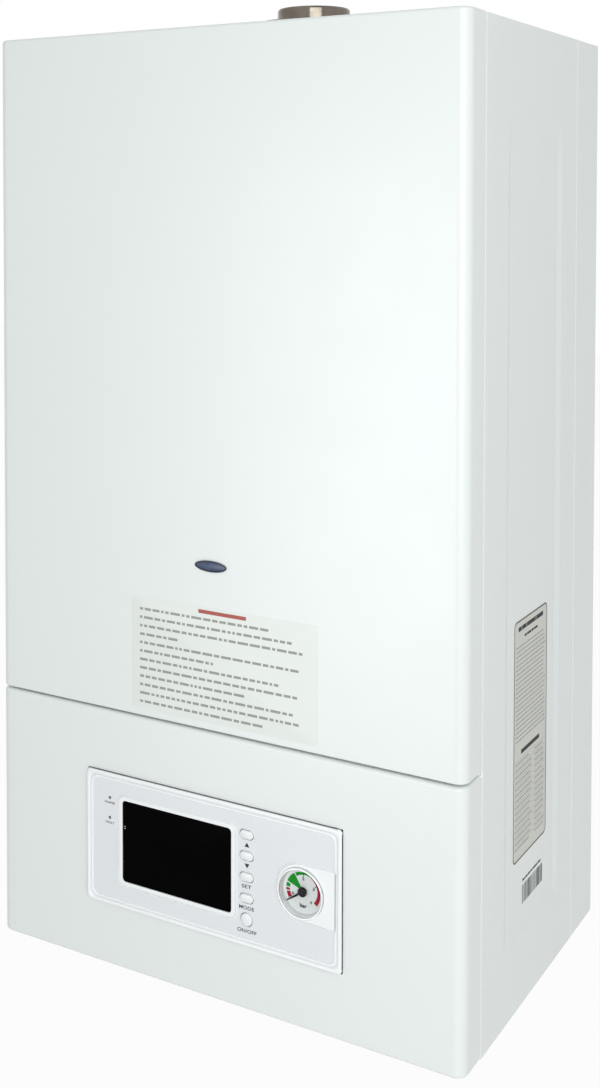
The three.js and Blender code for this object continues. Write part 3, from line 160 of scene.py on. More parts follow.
class CasingSettings(bpy.types.PropertyGroup):
    """Sizes of the sheet metal."""

    sheet: length("Sheet", 1.2 * MM, "Thickness of the panels")
    corner: length("Corner", 8.5 * MM, "Plan radius of the cover's vertical corners")
    edge: length("Edge", 2.5 * MM, "Rounding of the cover's top and the fascia's bottom edge")
    cover_foot: length("Cover foot", 1.2 * MM, "Rounding of the cover's bottom edge")
    fascia_head: length("Fascia head", 2.6 * MM, "Rounding of the fascia's top edge")
    # The seam strips are in the brighter moulding: a painted highlight line along each seam.
    seam: length("Seam strips", 2.4 * MM, "Width of the strips in the side seams")
    lap: length("Lap", 0.72 * MM, "How far a panel reaches into the gap behind it")
    aperture_gap: length("Aperture gap", 0.2 * MM, "Gap round the bezel in the fascia")
    fold: length("Fold", 2.5 * MM, "Rounding of the side panels' front fold")
    recess_depth: length("Recess depth", 1.7 * MM, "Depth of the pressing in the side panels")
    recess_slope: length("Recess slope", 10 * MM, "Width of the pressing's sloping border")
    recess_fade: length("Recess fade", 35 * MM, "Height over which the pressing fades in below its top")
    recess_corner: length("Recess corner", 9 * MM, "Corner radius of the pressing")
    recess_front: length("Recess front", 43 * MM, "Pressing's mouth behind the panel's front edge")
    recess_back: length("Recess back", 34.2 * MM, "Pressing's mouth in front of the panel's rear edge")
    recess_foot: length("Recess foot", 50 * MM, "Pressing's mouth above the panel's foot")
    recess_head: length("Recess head", 60 * MM, "Pressing's mouth below the panel's top")


class PanelSettings(bpy.types.PropertyGroup):
    """Sizes of the control panel."""

    moulding_edge: length("Moulding edge", 0.4 * MM, "Rounding of the bezel's small edges")
    rim: length("Rim", 3.1 * MM, "Width of the bezel's rim")
    rim_edge: length("Rim edge", 1.3 * MM, "Rounding of the rim")
    surround: length("Surround", 4.2 * MM, "Width of the display's surround")
    rim_groove: length("Rim groove", 0.85 * MM, "Gap between the rim and the line inside it")
    line: length("Line width", 1.5 * MM, "Width of the line inside the rim")
    lip: length("Surround lip", 0.6 * MM, "Width of the surrounds' outer lip")
    groove: length("Surround groove", 0.5 * MM, "Width of the groove inside the lip")
    surround_edge: length("Surround edge", 0.16 * MM, "Rounding of the raised surrounds")
    window_corner: length("Window corner", 3 * MM, "Corner radius of the display window")
    button_edge: length("Button edge", 0.8 * MM, "Rounding of the buttons' rims")
    button_dome: length("Button dome", 0.5 * MM, "How far the buttons' faces swell")
    button_lip: length("Button lip", 1.2 * MM, "Lip that keeps a button behind the bezel")
    button_collar: length("Button collar", 0.8 * MM, "Width of the collar round each button")
    button_gap: length("Button gap", 0.55 * MM, "Gap between a button and its collar")
    letter: length("Letters", 2.7 * MM, "Height of the panel's capitals")
    small_letter: length("Small letters", 1.7 * MM, "Height of the lamps' capitals")


class GaugeSettings(bpy.types.PropertyGroup):
    """Sizes of the pressure gauge."""

    zero: bearing("Zero", 214.4, "Angle of 0 bar from +X, seen from the front")
    step: bearing("Step", 62.25, "Angle for each bar, clockwise")
    ring: length("Ring", 0.9 * MM, "Width of the ring at its mouth")
    dial: length("Dial", 32.6 * MM, "Diameter of the dial")
    scale_radius: length("Scale radius", 13.8 * MM, "Outer radius of the coloured bands")
    band: length("Band", 2.7 * MM, "Width of the coloured bands")
    figure: length("Figures", 2.2 * MM, "Height of the figures")
    needle: length("Needle", 15.4 * MM, "Needle's length from its axis")
    hub: length("Hub", 6.8 * MM, "Diameter of the needle's hub")


class WaterSettings(bpy.types.PropertyGroup):
    """Sizes of the pipes and connections."""

    pipe: length("Pipe", 18 * MM, "Diameter of the heating pipes")
    small_pipe: length("Small pipe", 10 * MM, "Diameter of the vessel's pipe")
    gas_pipe: length("Gas pipe", 16 * MM, "Diameter of the gas pipe")
    wall: length("Wall", 1 * MM, "Wall of the pipes")
    bend: length("Bend", 22 * MM, "Radius of the pipes' bends")
    thread: length("Thread", 1.8 * MM, "Pitch of the connections' threads")
    sides: IntProperty(name="Sides", default=32, description="Faces round a pipe", min=8, max=96)


class StageSettings(bpy.types.PropertyGroup):
    """Camera, lamps and floor."""

    eye: place("Camera", (0.5574, -1.1744, -0.08), "Place of the camera")
    yaw: bearing("Yaw", 31.312, "Turn to the left")
    pitch: bearing("Pitch", 2.019, "Tilt downwards")
    lens: FloatProperty(
        name="Lens", default=47.761, description="Focal length in millimetres", min=1.0, unit="CAMERA"
    )
    shift: FloatVectorProperty(
        name="Shift", default=(0.0676, -0.265), description="Sideways and vertical shift of the frame", size=2
    )
    aim: place("Aim", (0.0, -0.25, -0.3), "Point that the lamps face")
    key_place: place("Key lamp's place", (0.9, -1.5, 0.0), "Middle of the large lamp on the right")
    key_size: spread("Key lamp's size", (1.0, 1.0), "Width and height of the key lamp")
    key_tint: colour("Key lamp's colour", (0.95, 1.0, 1.0), "Colour of the key lamp")
    key: power("Key lamp", 13.8, "Power of the large lamp on the right")
    sheen_place: place("Sheen lamp's place", (-0.55, -1.8, -0.55), "Middle of the lamp on the left")
    sheen_size: spread("Sheen lamp's size", (0.5, 1.2), "Width and height of the sheen lamp")
    sheen: power("Sheen lamp", 7.0, "Power of the lamp that only mirrors show")
    room: share("Room", 0.53, "Strength of the light from all round")
    floor: FloatProperty(name="Floor", default=-1.05, description="Height of the floor", unit="LENGTH")
    floor_reach: length("Floor's reach", 8.0, "Half the floor's width")
    floor_glow: share("Floor's glow", 0.94, "Share of the floor's look that is its own light")
    backdrop: StringProperty(name="Floor name", default="studio_floor", description="Name of the floor plane")


# ---- Surfaces ----


def grid(points, wrap=False, loop=False):
    """Joins rows of points into quads. With wrap the last column joins the first, and with loop the last row
    joins the first."""
    rows, columns = points.shape[:2]
    number = np.arange(rows * columns).reshape(rows, columns)
    if wrap:
        number = np.hstack([number, number[:, :1]])
    if loop:
        number = np.vstack([number, number[:1]])
    quads = np.stack([number[:-1, :-1], number[:-1, 1:], number[1:, 1:], number[1:, :-1]], axis=-1)
    return points.reshape(-1, 3), quads.reshape(-1, 4)


def merged(*surfaces):
    """Several surfaces as one, each one's corner numbers moved up by the points before it."""
    starts = np.cumsum([0] + [len(points) for points, _ in surfaces[:-1]])
    points = np.vstack([points for points, _ in surfaces])
    return points, np.vstack([quads + start for (_, quads), start in zip(surfaces, starts)])


def flipped(surface):
    """The same surface with its faces turned round."""
    points, quads = surface
    return points, quads[:, ::-1]


def outward(surface):
    """Turns a closed surface's faces out: its volume, a sixth of the sum of its triangles' triple products,
    is negative when they point in."""
    points, quads = surface
    a, b, c, d = ((points - points.mean(axis=0))[quads[:, i]] for i in range(4))
    volume = np.sum(a * np.cross(b, c)) + np.sum(a * np.cross(c, d))
    return flipped(surface) if volume < 0 else surface


def closed(rings):
    """A closed body through a stack of rings, shut by poles in the middles of its first and last ring."""
    rings = np.asarray(rings, float)
    foot = np.broadcast_to(rings[0].mean(axis=0), rings[0].shape)
    head = np.broadcast_to(rings[-1].mean(axis=0), rings[-1].shape)
    return outward(grid(np.concatenate([foot[None], rings, head[None]]), wrap=True))


def lay(flat, level, face="front"):
    """Puts flat points (across, up) on a plane: at a depth facing the viewer, at a side, or at a height."""
    level = np.broadcast_to(level, flat.shape[:-1])
    order = {"front": (flat[..., 0], level, flat[..., 1]), "side": (level, flat[..., 0], flat[..., 1])}
    order["top"] = (flat[..., 0], flat[..., 1], level)
    return np.stack(order[face], axis=-1)


def soften(corners, radius, steps=5):
    """Rounds a polyline's inner corners with arcs of a radius. An arc starts short of its corner by the
    radius times the tangent of half the turn, and its points are sines and cosines of shares of the turn. It
    is made smaller where it would take half of a side."""
    corners = np.asarray(corners, float)
    sides = np.diff(corners, axis=0)
    lengths = np.linalg.norm(sides, axis=1)
    ways = sides / lengths[:, None]
    first, second = ways[:-1], ways[1:]
    cosine = np.clip(np.sum(first * second, axis=1), -1, 1)
    turn = np.arccos(cosine)
    slack = np.maximum(np.tan(turn / 2), TINY)
    most = 0.49
    radius = np.minimum(radius, most * np.minimum(lengths[:-1], lengths[1:]) / slack)
    inward = (second - cosine[:, None] * first) / np.maximum(np.sin(turn), TINY)[:, None]
    angle = turn[:, None] * np.linspace(0, 1, steps + 1)
    ahead = radius[:, None] * np.sin(angle) - (radius * slack)[:, None]
    aside = radius[:, None] * (1 - np.cos(angle))
    arcs = corners[1:-1, None] + ahead[..., None] * first[:, None] + aside[..., None] * inward[:, None]
    return np.vstack([corners[:1], arcs.reshape(-1, corners.shape[1]), corners[-1:]])


def soften_loop(corners, radius, steps=4):
    """Rounds every corner of a closed polyline."""
    corners = np.asarray(corners, float)
    return soften(np.vstack([corners[-1:], corners, corners[:1]]), radius, steps)[1:-1]


def rounded(width, height, radius, steps=8):
    """A rounded rectangle round the origin: four quarter circles joined by straight sides."""
    angle = np.arange(4)[:, None] * RIGHT_ANGLE + np.linspace(0, RIGHT_ANGLE, steps + 1)
    across = np.array([1, -1, -1, 1])[:, None] * (width / 2 - radius)
    up = np.array([1, 1, -1, -1])[:, None] * (height / 2 - radius)
    return np.stack([across + radius * np.cos(angle), up + radius * np.sin(angle)], axis=-1).reshape(-1, 2)


def circle(radius, sides=64):
    """A circle round the origin."""
    angle = np.linspace(0, 2 * math.pi, sides, endpoint=False)
    return radius * np.stack([np.cos(angle), np.sin(angle)], axis=-1)


def plate(outline, centre, front, back, edge, dome=0.0, face="front", steps=5):
    """A plate of any outline(inset): a flat back, straight sides, a quarter-circle edge and a face that
    swells as one minus the square of the distance from its middle."""
    direction = np.sign(back - front)
    angle = np.linspace(0, RIGHT_ANGLE, steps + 1)
    insets = np.concatenate([[0.0], edge * (1 - np.cos(angle))])
    brow = front + direction * dome
    levels = np.concatenate([[back], brow + direction * edge * (1 - np.sin(angle))])
    rings = [lay(outline(inset) + centre, level, face) for inset, level in zip(insets, levels)]
    if dome:
        inner = outline(edge)
        shrink = np.linspace(1, 0, steps + 2)[1:-1]
        middle = inner.mean(axis=0)
        for scale in shrink:
            level = front + direction * dome * scale**2
            rings.append(lay(middle + (inner - middle) * scale + centre, level, face))
    return closed(rings)


def lathe(profile, centre, axis="z", sides=96, loop=False):
    """A body of revolution: each profile point (radius, level) goes round the axis in a circle. The profile
    starts and ends on the axis, or closes on itself where loop is set."""
    profile = np.asarray(profile, float)
    ring = circle(1.0, sides)
    flat = profile[:, None, :1] * ring[None]
    level = np.broadcast_to(profile[:, 1:], flat.shape[:2])
    orders = {"x": (level, flat[..., 0], flat[..., 1]), "y": (flat[..., 0], level, flat[..., 1])}
    orders["z"] = (flat[..., 0], flat[..., 1], level)
    offset = np.insert(np.asarray(centre, float), "xyz".index(axis), 0.0)
    return outward(grid(np.stack(orders[axis], axis=-1) + offset, wrap=True, loop=loop))


def sweep(route, radius, sides=32):
    """A circle carried along a route, in the plane of two directions that cross products make from the
    route's own direction and one fixed direction that no pipe runs in."""
    fixed = (0.37, 0.61, 0.70)
    route = np.asarray(route, float)
    way = np.gradient(route, axis=0)
    way /= np.linalg.norm(way, axis=1, keepdims=True)
    across = np.cross(way, fixed)
    across /= np.linalg.norm(across, axis=1, keepdims=True)
    over = np.cross(way, across)
    ring = circle(1.0, sides)
    radius = np.broadcast_to(radius, len(route))[:, None, None]
    return route[:, None] + radius * (ring[None, :, :1] * across[:, None] + ring[None, :, 1:] * over[:, None])


def hollow_tube(route, radius, wall, sides=32):
    """A pipe with an open bore: the outer rings forward and the inner rings back, joined at both ends."""
    outer = sweep(route, radius, sides)
    inner = sweep(route, radius - wall, sides)[::-1]
    return outward(grid(np.concatenate([outer, inner]), wrap=True, loop=True))


def boxes(centres, sizes):
    """Many boxes at once: the eight corners are the centre plus or minus half of each size."""
    centres = np.atleast_2d(centres)
    sizes = np.broadcast_to(sizes, centres.shape)
    signs = np.array([[x, y, z] for x in (-1, 1) for y in (-1, 1) for z in (-1, 1)]) / 2
    points = (centres[:, None] + signs[None] * sizes[:, None]).reshape(-1, 3)
    sides = np.array([[0, 1, 3, 2], [4, 6, 7, 5], [0, 4, 5, 1], [2, 3, 7, 6], [0, 2, 6, 4], [1, 5, 7, 3]])
    starts = np.arange(len(centres))[:, None, None] * len(signs)
    return points, (sides[None] + starts).reshape(-1, 4)


def frame_ring(outline, centre, front, back, width, edge, face="front"):
    """A frame of a width: a section with rounded front edges carried round an outline(inset)."""
    section = soften_loop([(0, back), (0, front), (width, front), (width, back)], edge)
    rings = [lay(outline(inset) + centre, level, face) for inset, level in section]
    return outward(grid(np.array(rings), wrap=True, loop=True))


# ---- Pieces ----


def put(name, mesh, body, material, nodes=(), crease=32.0):
    """Adds a mesh to the scene as a piece that rides on a body and stands for the nodes it replaces."""
    mesh.polygons.foreach_set("use_smooth", np.ones(len(mesh.polygons), bool))
    mesh.set_sharp_from_angle(angle=math.radians(crease))
    mesh.materials.clear()
    mesh.materials.append(material)
    piece = bpy.data.objects.new(name, mesh)
    bpy.context.scene.collection.objects.link(piece)
    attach(piece, body)
    if nodes:
        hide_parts(*nodes)
    return piece


def tidy(mesh, flat_angle=0.0):
    """Joins a mesh's doubled points, drops what collapsed at poles and, if asked, merges flat neighbours."""
    work = bmesh.new()
    work.from_mesh(mesh)
    bmesh.ops.remove_doubles(work, verts=work.verts, dist=WELD)
    bmesh.ops.dissolve_degenerate(work, edges=work.edges, dist=COLLAPSED)
    if flat_angle:
        bmesh.ops.dissolve_limit(
            work, angle_limit=math.radians(flat_angle), verts=work.verts, edges=work.edges, delimit=set()
        )
    work.to_mesh(mesh)
    work.free()


def form(name, surface, body, material, nodes=()):
    """A piece from a worked-out surface."""
    points, quads = surface
    mesh = bpy.data.meshes.new(name)
    mesh.from_pydata(points.tolist(), [], quads.tolist())
    tidy(mesh)
    return put(name, mesh, body, material, nodes)


def bevel(piece, width, segments=2, limit=40.0):
    """Rounds a piece's sharp edges and keeps its flats flat."""
    rounding = piece.modifiers.new("rounding", "BEVEL")
    rounding.width = width
    rounding.segments = segments
    rounding.limit_method = "ANGLE"
    rounding.angle_limit = math.radians(limit)
    weighted = piece.modifiers.new("flats", "WEIGHTED_NORMAL")
    weighted.keep_sharp = True
    return piece


def wall(piece, thickness):
    """Gives a sheet its thickness, inwards, and rounds its cut edges."""
    solid = piece.modifiers.new("sheet", "SOLIDIFY")
    solid.thickness = thickness
    solid.offset = -1
    solid.use_even_offset = True
    return bevel(piece, thickness / 4, limit=50.0)


def node_body(node):
    """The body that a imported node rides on."""
    groups = frame["record"]["behaviour"]["bodies"]
    return next(body for body, nodes in groups.items() if node in nodes)


def levelled(mesh, front):
    """Moves every point that stands in front of a depth back to it."""
    points = np.empty(len(mesh.vertices) * 3)
    mesh.vertices.foreach_get("co", points)
    points[1::3] = np.maximum(points[1::3], front)
    mesh.vertices.foreach_set("co", points)


def dress(node, material, edge=0.6 * MM, segments=2, front=None):
    """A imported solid's own shape with its edges rounded and a finish; it may be levelled at a front depth."""
    name = f"{node}_finished"
    mesh = frame["nodes"][node].data.copy()
    mesh.name = name
    if front is not None:
        levelled(mesh, front)
    tidy(mesh, flat_angle=0.6)
    piece = put(name, mesh, node_body(node), material, (node,), crease=30.0)
    return bevel(piece, edge, segments) if edge else piece


def lettering(name, words, size, centre, level, material, body, weight=0.0):
    """Generic words on a face: a flat text curve made a mesh, then scaled to a width and a height."""
    curve = bpy.data.curves.new(name, "FONT")
    curve.body = words
    curve.align_x = "CENTER"
    curve.align_y = "CENTER"
    curve.extrude = 0.02
    curve.offset = weight
    text = bpy.data.objects.new(name + "_curve", curve)
    bpy.context.scene.collection.objects.link(text)
    bpy.context.view_layer.update()
    mesh = bpy.data.meshes.new_from_object(text.evaluated_get(bpy.context.evaluated_depsgraph_get()))
    bpy.data.objects.remove(text)
    points = np.empty(len(mesh.vertices) * 3)
    mesh.vertices.foreach_get("co", points)
    points = points.reshape(-1, 3)
    low, high = points.min(axis=0), points.max(axis=0)
    scale = np.array(size) / (high[:2] - low[:2])
    flat = (points[:, :2] - (low[:2] + high[:2]) / 2) * scale + centre
    depth = level - points[:, 2] * scale[1]
    mesh.vertices.foreach_set("co", lay(flat, depth).ravel())
    mesh.update()
    tidy(mesh)
    return put(name, mesh, body, material, crease=30.0)


# ---- Shader nodes ----


class Value:
    """A socket of a finish's node tree. Arithmetic on it adds Math nodes."""

    def __init__(self, finish, socket):
        self.finish = finish
        self.socket = socket

    def _with(self, operation, first, second):
        return self.finish.node("ShaderNodeMath", {"operation": operation}, {0: first, 1: second})

    def __add__(self, other):
        return self._with("ADD", self, other)

    def __rsub__(self, other):
        return self._with("SUBTRACT", other, self)

    def __mul__(self, other):
        return self._with("MULTIPLY", self, other)


class Finish:
    """A material and the nodes in it."""

    def __init__(self, name, owner=None):
        self.material = owner or bpy.data.materials.new(name)
        self.material.use_nodes = True
        self.tree = self.material.node_tree
        self.tree.nodes.clear()

    def node(self, kind, settings=None, inputs=None, output=0):
        """Adds one node: its settings first, then its inputs, as values or links, by name or number."""
        node = self.tree.nodes.new(kind)
        for name, value in (settings or {}).items():
            setattr(node, name, value)
        for name, value in (inputs or {}).items():
            if isinstance(value, Value):
                self.tree.links.new(value.socket, node.inputs[name])
            else:
                node.inputs[name].default_value = value
        return Value(self, node.outputs[output])

    def position(self, scale=(1.0, 1.0, 1.0)):
        """Object coordinates, stretched by a scale."""
        coordinates = self.node("ShaderNodeTexCoord", output="Object")
        return self.node("ShaderNodeMapping", None, {"Vector": coordinates, "Scale": scale})

    def noise(self, scale, detail=2.0, stretch=(1.0, 1.0, 1.0)):
        """Soft noise, scale being cycles in a metre."""
        inputs = {"Vector": self.position(stretch), "Scale": scale, "Detail": detail}
        return self.node("ShaderNodeTexNoise", None, inputs)

    def cells(self, size, output="Distance", feature="F1"):
        """Cells of a size in metres."""
        inputs = {"Vector": self.position(), "Scale": 1 / size}
        return self.node("ShaderNodeTexVoronoi", {"feature": feature}, inputs, output)

    def between(self, value, low, high, to_low=0.0, to_high=1.0):
        """A value carried from one range to another, and held at its ends."""
        inputs = {"Value": value, "From Min": low, "From Max": high, "To Min": to_low, "To Max": to_high}
        return self.node("ShaderNodeMapRange", {"clamp": True}, inputs)

    def blend(self, factor, first, second):
        """A colour between two colours."""
        settings = {"data_type": "RGBA", "clamp_factor": True}
        return self.node("ShaderNodeMix", settings, {0: factor, 6: first, 7: second}, output=2)

    def bump(self, height, distance):
        """The surface's normal, tilted by a height."""
        return self.node("ShaderNodeBump", None, {"Height": height, "Distance": distance})

    def coat(self, inputs):
        """One Principled surface as the material's output."""
        shader = self.node("ShaderNodeBsdfPrincipled", None, inputs)
        return self.output(shader)

    def output(self, shader):
        """Ends the tree and gives the material."""
        ending = self.tree.nodes.new("ShaderNodeOutputMaterial")
        self.tree.links.new(shader.socket, ending.inputs["Surface"])
        return self.material


def rgba(tint, level=1.0):
    """A colour with its brightness changed and a solid alpha."""
    return (*(min(1.0, part * level) for part in tint), 1.0)


def settings():
    """The colours and gloss that the finishes take."""
    return bpy.context.scene.boiler_finish


# ---- Finishes ----


def paint(name, tint, gloss, grain=2.2 * MM, depth=0.012 * MM, drift=0.012, coat=0.0, shine=0.5):
    """Paint or moulded plastic: its shade drifts, its gloss is uneven and its skin is slightly wavy."""
    finish = Finish(name)
    cloud = finish.noise(5.0, 3.0)
    skin = finish.noise(1 / grain, 2.0)
    patches = finish.noise(30.0, 4.0)
    return finish.coat(
        {
            "Base Color": finish.blend(cloud, rgba(tint, 1 - drift), rgba(tint, 1 + drift)),
            "Roughness": finish.between(patches, 0.3, 0.7, gloss * 0.92, gloss * 1.1),
            "Specular IOR Level": shine,
            "Coat Weight": coat,
            "Coat Roughness": 0.08,
            "Normal": finish.bump(skin, depth),
        }
    )


def metal(name, tint, tarnish, gloss, grain=(60.0, 60.0, 60.0), depth=0.02 * MM, patch=40.0):
    """Bare metal: tarnish gathers in patches, the grain runs one way and both change the gloss."""
    finish = Finish(name)
    patches = finish.between(finish.noise(patch, 5.0), 0.42, 0.66)
    lines = finish.noise(1.0, 3.0, grain)
    stain = patches * 0.7 + finish.between(lines, 0.35, 0.75) * 0.3
    return finish.coat(
        {
            "Base Color": finish.blend(stain, rgba(tint), rgba(tarnish)),
            "Metallic": 1.0,
            "Roughness": finish.between(stain, 0.0, 1.0, gloss * 0.8, gloss * 1.35),
            "Normal": finish.bump(lines, depth),
        }
    )


@cache
def enamel():
    """White powder coat of the casing."""
    return paint("powder_coat", settings().enamel, settings().enamel_gloss, 2.4 * MM, 0.006 * MM, 0.008)


@cache
def moulding():
    """Fine-grained white plastic."""
    return paint("white_moulding", settings().moulding, 0.36, 0.5 * MM, 0.006 * MM, 0.008)


@cache
def rim_moulding():
    """Smoother, brighter white plastic: a painted highlight on the raised rims, surrounds and seam strips."""
    return paint("rim_moulding", settings().rim, 0.25, 0.8 * MM, 0.003 * MM, 0.006)


@cache
def button_plastic():
    """Smooth white plastic."""
    return paint("button_moulding", settings().button, 0.3, 0.8 * MM, 0.003 * MM, 0.006)


@cache
def screen():
    """The display's black window: a dark cell grid under gloss."""
    finish = Finish("screen_window")
    cells = finish.between(finish.cells(0.45 * MM), 0.1, 0.6)
    tint = settings().screen
    return finish.coat(
        {
            "Base Color": finish.blend(cells, rgba(tint), rgba(tint, 1.6)),
            "Roughness": finish.between(finish.noise(40.0, 3.0), 0.3, 0.7, 0.2, 0.3),
            "Specular IOR Level": 0.01,
        }
    )


@cache
def segment():
    """A lit segment of the display."""
    return paint("screen_segment", (0.35, 0.35, 0.36), 0.5, 0.4 * MM, 0.0)


@cache
def sight_blue():
    """Deep blue glass whose shade drifts a little in soft clouds."""
    finish = Finish("sight_lens")
    tint = settings().sight
    cloud = finish.between(finish.noise(160.0, 2.0), 0.35, 0.7)
    return finish.coat(
        {
            "Base Color": finish.blend(cloud, rgba(tint, 0.8), rgba(tint, 1.25)),
            "Roughness": finish.between(cloud, 0.0, 1.0, 0.3, 0.4),
            "Coat Weight": 0.08,
            "Coat Roughness": 0.05,
        }
    )


@cache
def sight_rim():
    """The dark rim of the sight glass."""
    return paint("sight_rim", (0.012, 0.018, 0.04), 0.25, 0.6 * MM, 0.004 * MM, 0.1)


@cache
def lamp_lens():
    """A small unlit lamp."""
    return paint("lamp_lens", (0.12, 0.125, 0.13), 0.3, 0.4 * MM, 0.002 * MM, 0.1)


@cache
def gauge_silver():
    """Pale satin metal of the gauge's ring."""
    worn = (0.74, 0.74, 0.75)
    return metal("gauge_silver", (0.87, 0.87, 0.88), worn, 0.45, (300.0, 300.0, 300.0), 0.004 * MM)


@cache
def dial_card():
    """White dial."""
    return paint("dial_card", (0.76, 0.76, 0.75), 0.5, 0.5 * MM, 0.003 * MM, shine=0.2)


@cache
def lens():
    """Clear plastic: it lets light straight through and mirrors more of it at a slant."""
    finish = Finish("clear_lens")
    through = finish.node("ShaderNodeBsdfTransparent", None, {"Color": (0.97, 0.98, 0.98, 1.0)})
    mirror = finish.node("ShaderNodeBsdfGlossy", None, {"Color": (1.0, 1.0, 1.0, 1.0), "Roughness": 0.04})
    slant = finish.node("ShaderNodeFresnel", None, {"IOR": 1.45})
    smears = finish.between(finish.noise(90.0, 3.0), 0.3, 0.8, 0.04, 0.1)
    mixed = finish.node("ShaderNodeMixShader", None, {0: slant * smears, 1: through, 2: mirror})
    return finish.output(mixed)


@cache
def grey_plastic():
    """Grey plastic of the control box."""
    return paint("grey_moulding", (0.30, 0.31, 0.32), 0.45, 0.7 * MM, 0.02 * MM, 0.03)


@cache
def black_plastic():
    """Black nylon and phenolic."""
    return paint("black_moulding", (0.013, 0.013, 0.014), 0.4, 0.6 * MM, 0.02 * MM, 0.15, shine=0.1)


@cache
def red_plastic():
    """Red plastic of the relief knob."""
    return paint("red_moulding", (0.50, 0.02, 0.015), 0.35, 0.8 * MM, 0.01 * MM, 0.03)


@cache
def red_enamel():
    """Red stoved enamel."""
    return paint("red_enamel", settings().vessel, 0.28, 3 * MM, 0.02 * MM, 0.04, coat=0.3)


@cache
def ceramic():
    """Glazed white ceramic."""
    return paint("glazed_ceramic", (0.78, 0.75, 0.68), 0.22, 3 * MM, 0.01 * MM, 0.03, coat=0.4)


@cache
def sticker_paper():
    """Satin sticker."""
    return paint("sticker_paper", settings().paper, 0.42, 0.35 * MM, 0.002 * MM, 0.008)


@cache
def label_foil():
    """Greyish plate foil."""
    return paint("label_foil", settings().plate_paper, 0.4, 0.5 * MM, 0.003 * MM, 0.02)


def ink(name, tint):
    """Printing ink, a little thin in places."""
    return paint(name, tint, 0.5, 0.25 * MM, 0.001 * MM, 0.12, shine=0.1)


@cache
def grey_ink():
    """Grey ink of the stickers' text."""
    return ink("grey_ink", (0.36, 0.365, 0.34))


@cache
def dark_ink():
    """Dark grey ink of words and figures."""
    return ink("dark_ink", (0.035, 0.035, 0.04))


@cache
def red_ink():
    """Muted red ink."""
    return ink("red_ink", (0.46, 0.13, 0.11))


@cache
def dial_red():
    """Red of the gauge's bands."""
    return ink("dial_red", (0.36, 0.008, 0.03))


@cache
def dial_green():
    """Green of the gauge's bands."""
    return ink("dial_green", (0.002, 0.27, 0.012))


@cache
def flue_nickel():
    """Nickel-plated steel with brown smudges and fine turning lines."""
    tint = settings().flue
    stain = tuple(part * 0.6 for part in tint)
    return metal("flue_nickel", tint, stain, 0.13, (20.0, 20.0, 900.0), 0.004 * MM, 55.0)


@cache
def copper():
    """Drawn copper, browned by heat in patches."""
    browned = (0.56, 0.27, 0.16)
    return metal("drawn_copper", settings().copper, browned, 0.3, (200.0, 200.0, 30.0), 0.01 * MM, 16.0)


@cache
def brass():
    """Forged brass."""
    tarnish = (0.46, 0.31, 0.12)
    return metal("forged_brass", settings().brass, tarnish, 0.34, (420.0, 420.0, 420.0), 0.03 * MM, 35.0)


@cache
def aluminium():
    """Die-cast aluminium: a sandy skin, and a shade that drifts darker in soft clouds."""
    finish = Finish("cast_aluminium")
    sand = finish.noise(900.0, 4.0)
    cloud = finish.between(finish.noise(30.0, 4.0), 0.3, 0.7)
    return finish.coat(
        {
            "Base Color": finish.blend(cloud, rgba((0.62, 0.63, 0.64)), rgba((0.50, 0.51, 0.52))),
            "Metallic": 1.0,
            "Roughness": finish.between(sand, 0.3, 0.7, 0.36, 0.52),
            "Normal": finish.bump(sand, 0.05 * MM),
        }
    )


@cache
def zinc():
    """Galvanised sheet: crystals of zinc, each with a shade and gloss of its own."""
    finish = Finish("galvanised_sheet")
    crystals = finish.node("ShaderNodeSeparateColor", None, {"Color": finish.cells(9 * MM, "Color")})
    haze = finish.between(finish.noise(18.0, 4.0), 0.35, 0.7)
    shade = crystals * 0.6 + haze * 0.4
    return finish.coat(
        {
            "Base Color": finish.blend(shade, rgba((0.70, 0.72, 0.74)), rgba((0.55, 0.57, 0.60))),
            "Metallic": 1.0,
            "Roughness": finish.between(shade, 0.0, 1.0, 0.28, 0.46),
            "Normal": finish.bump(finish.noise(500.0, 2.0), 0.01 * MM),
        }
    )


@cache
def board():
    """Circuit board: green resist over paler tracks."""
    finish = Finish("circuit_board")
    track = finish.between(finish.cells(4 * MM, "Distance", "DISTANCE_TO_EDGE"), 0.08, 0.12)
    return finish.coat(
        {
            "Base Color": finish.blend(track, rgba((0.05, 0.20, 0.07)), rgba((0.01, 0.10, 0.035))),
            "Roughness": finish.between(track, 0.0, 1.0, 0.3, 0.4),
            "Normal": finish.bump(track, 0.04 * MM),
        }
    )


# ---- Casing ----


def tray_plan(half, front, corner, inset, back, shares, across):
    """The U-shaped plan of a tray, from its left rear end to its right: a side at shares of its length, a
    quarter circle, the front at the places across, and their mirror images."""
    angle = np.linspace(math.pi, 1.5 * math.pi, 11)
    bend = front + corner
    side = np.stack([np.full(len(shares), inset - half), back + shares * (bend - back)], axis=-1)
    arc = np.stack([np.cos(angle), np.sin(angle)], axis=-1) * (corner - inset) + (corner - half, bend)
    middle = np.stack([across, np.full(len(across), front + inset)], axis=-1)
    mirror = (-1, 1)
    return np.vstack([side, arc, middle, arc[::-1] * mirror, side[::-1] * mirror])


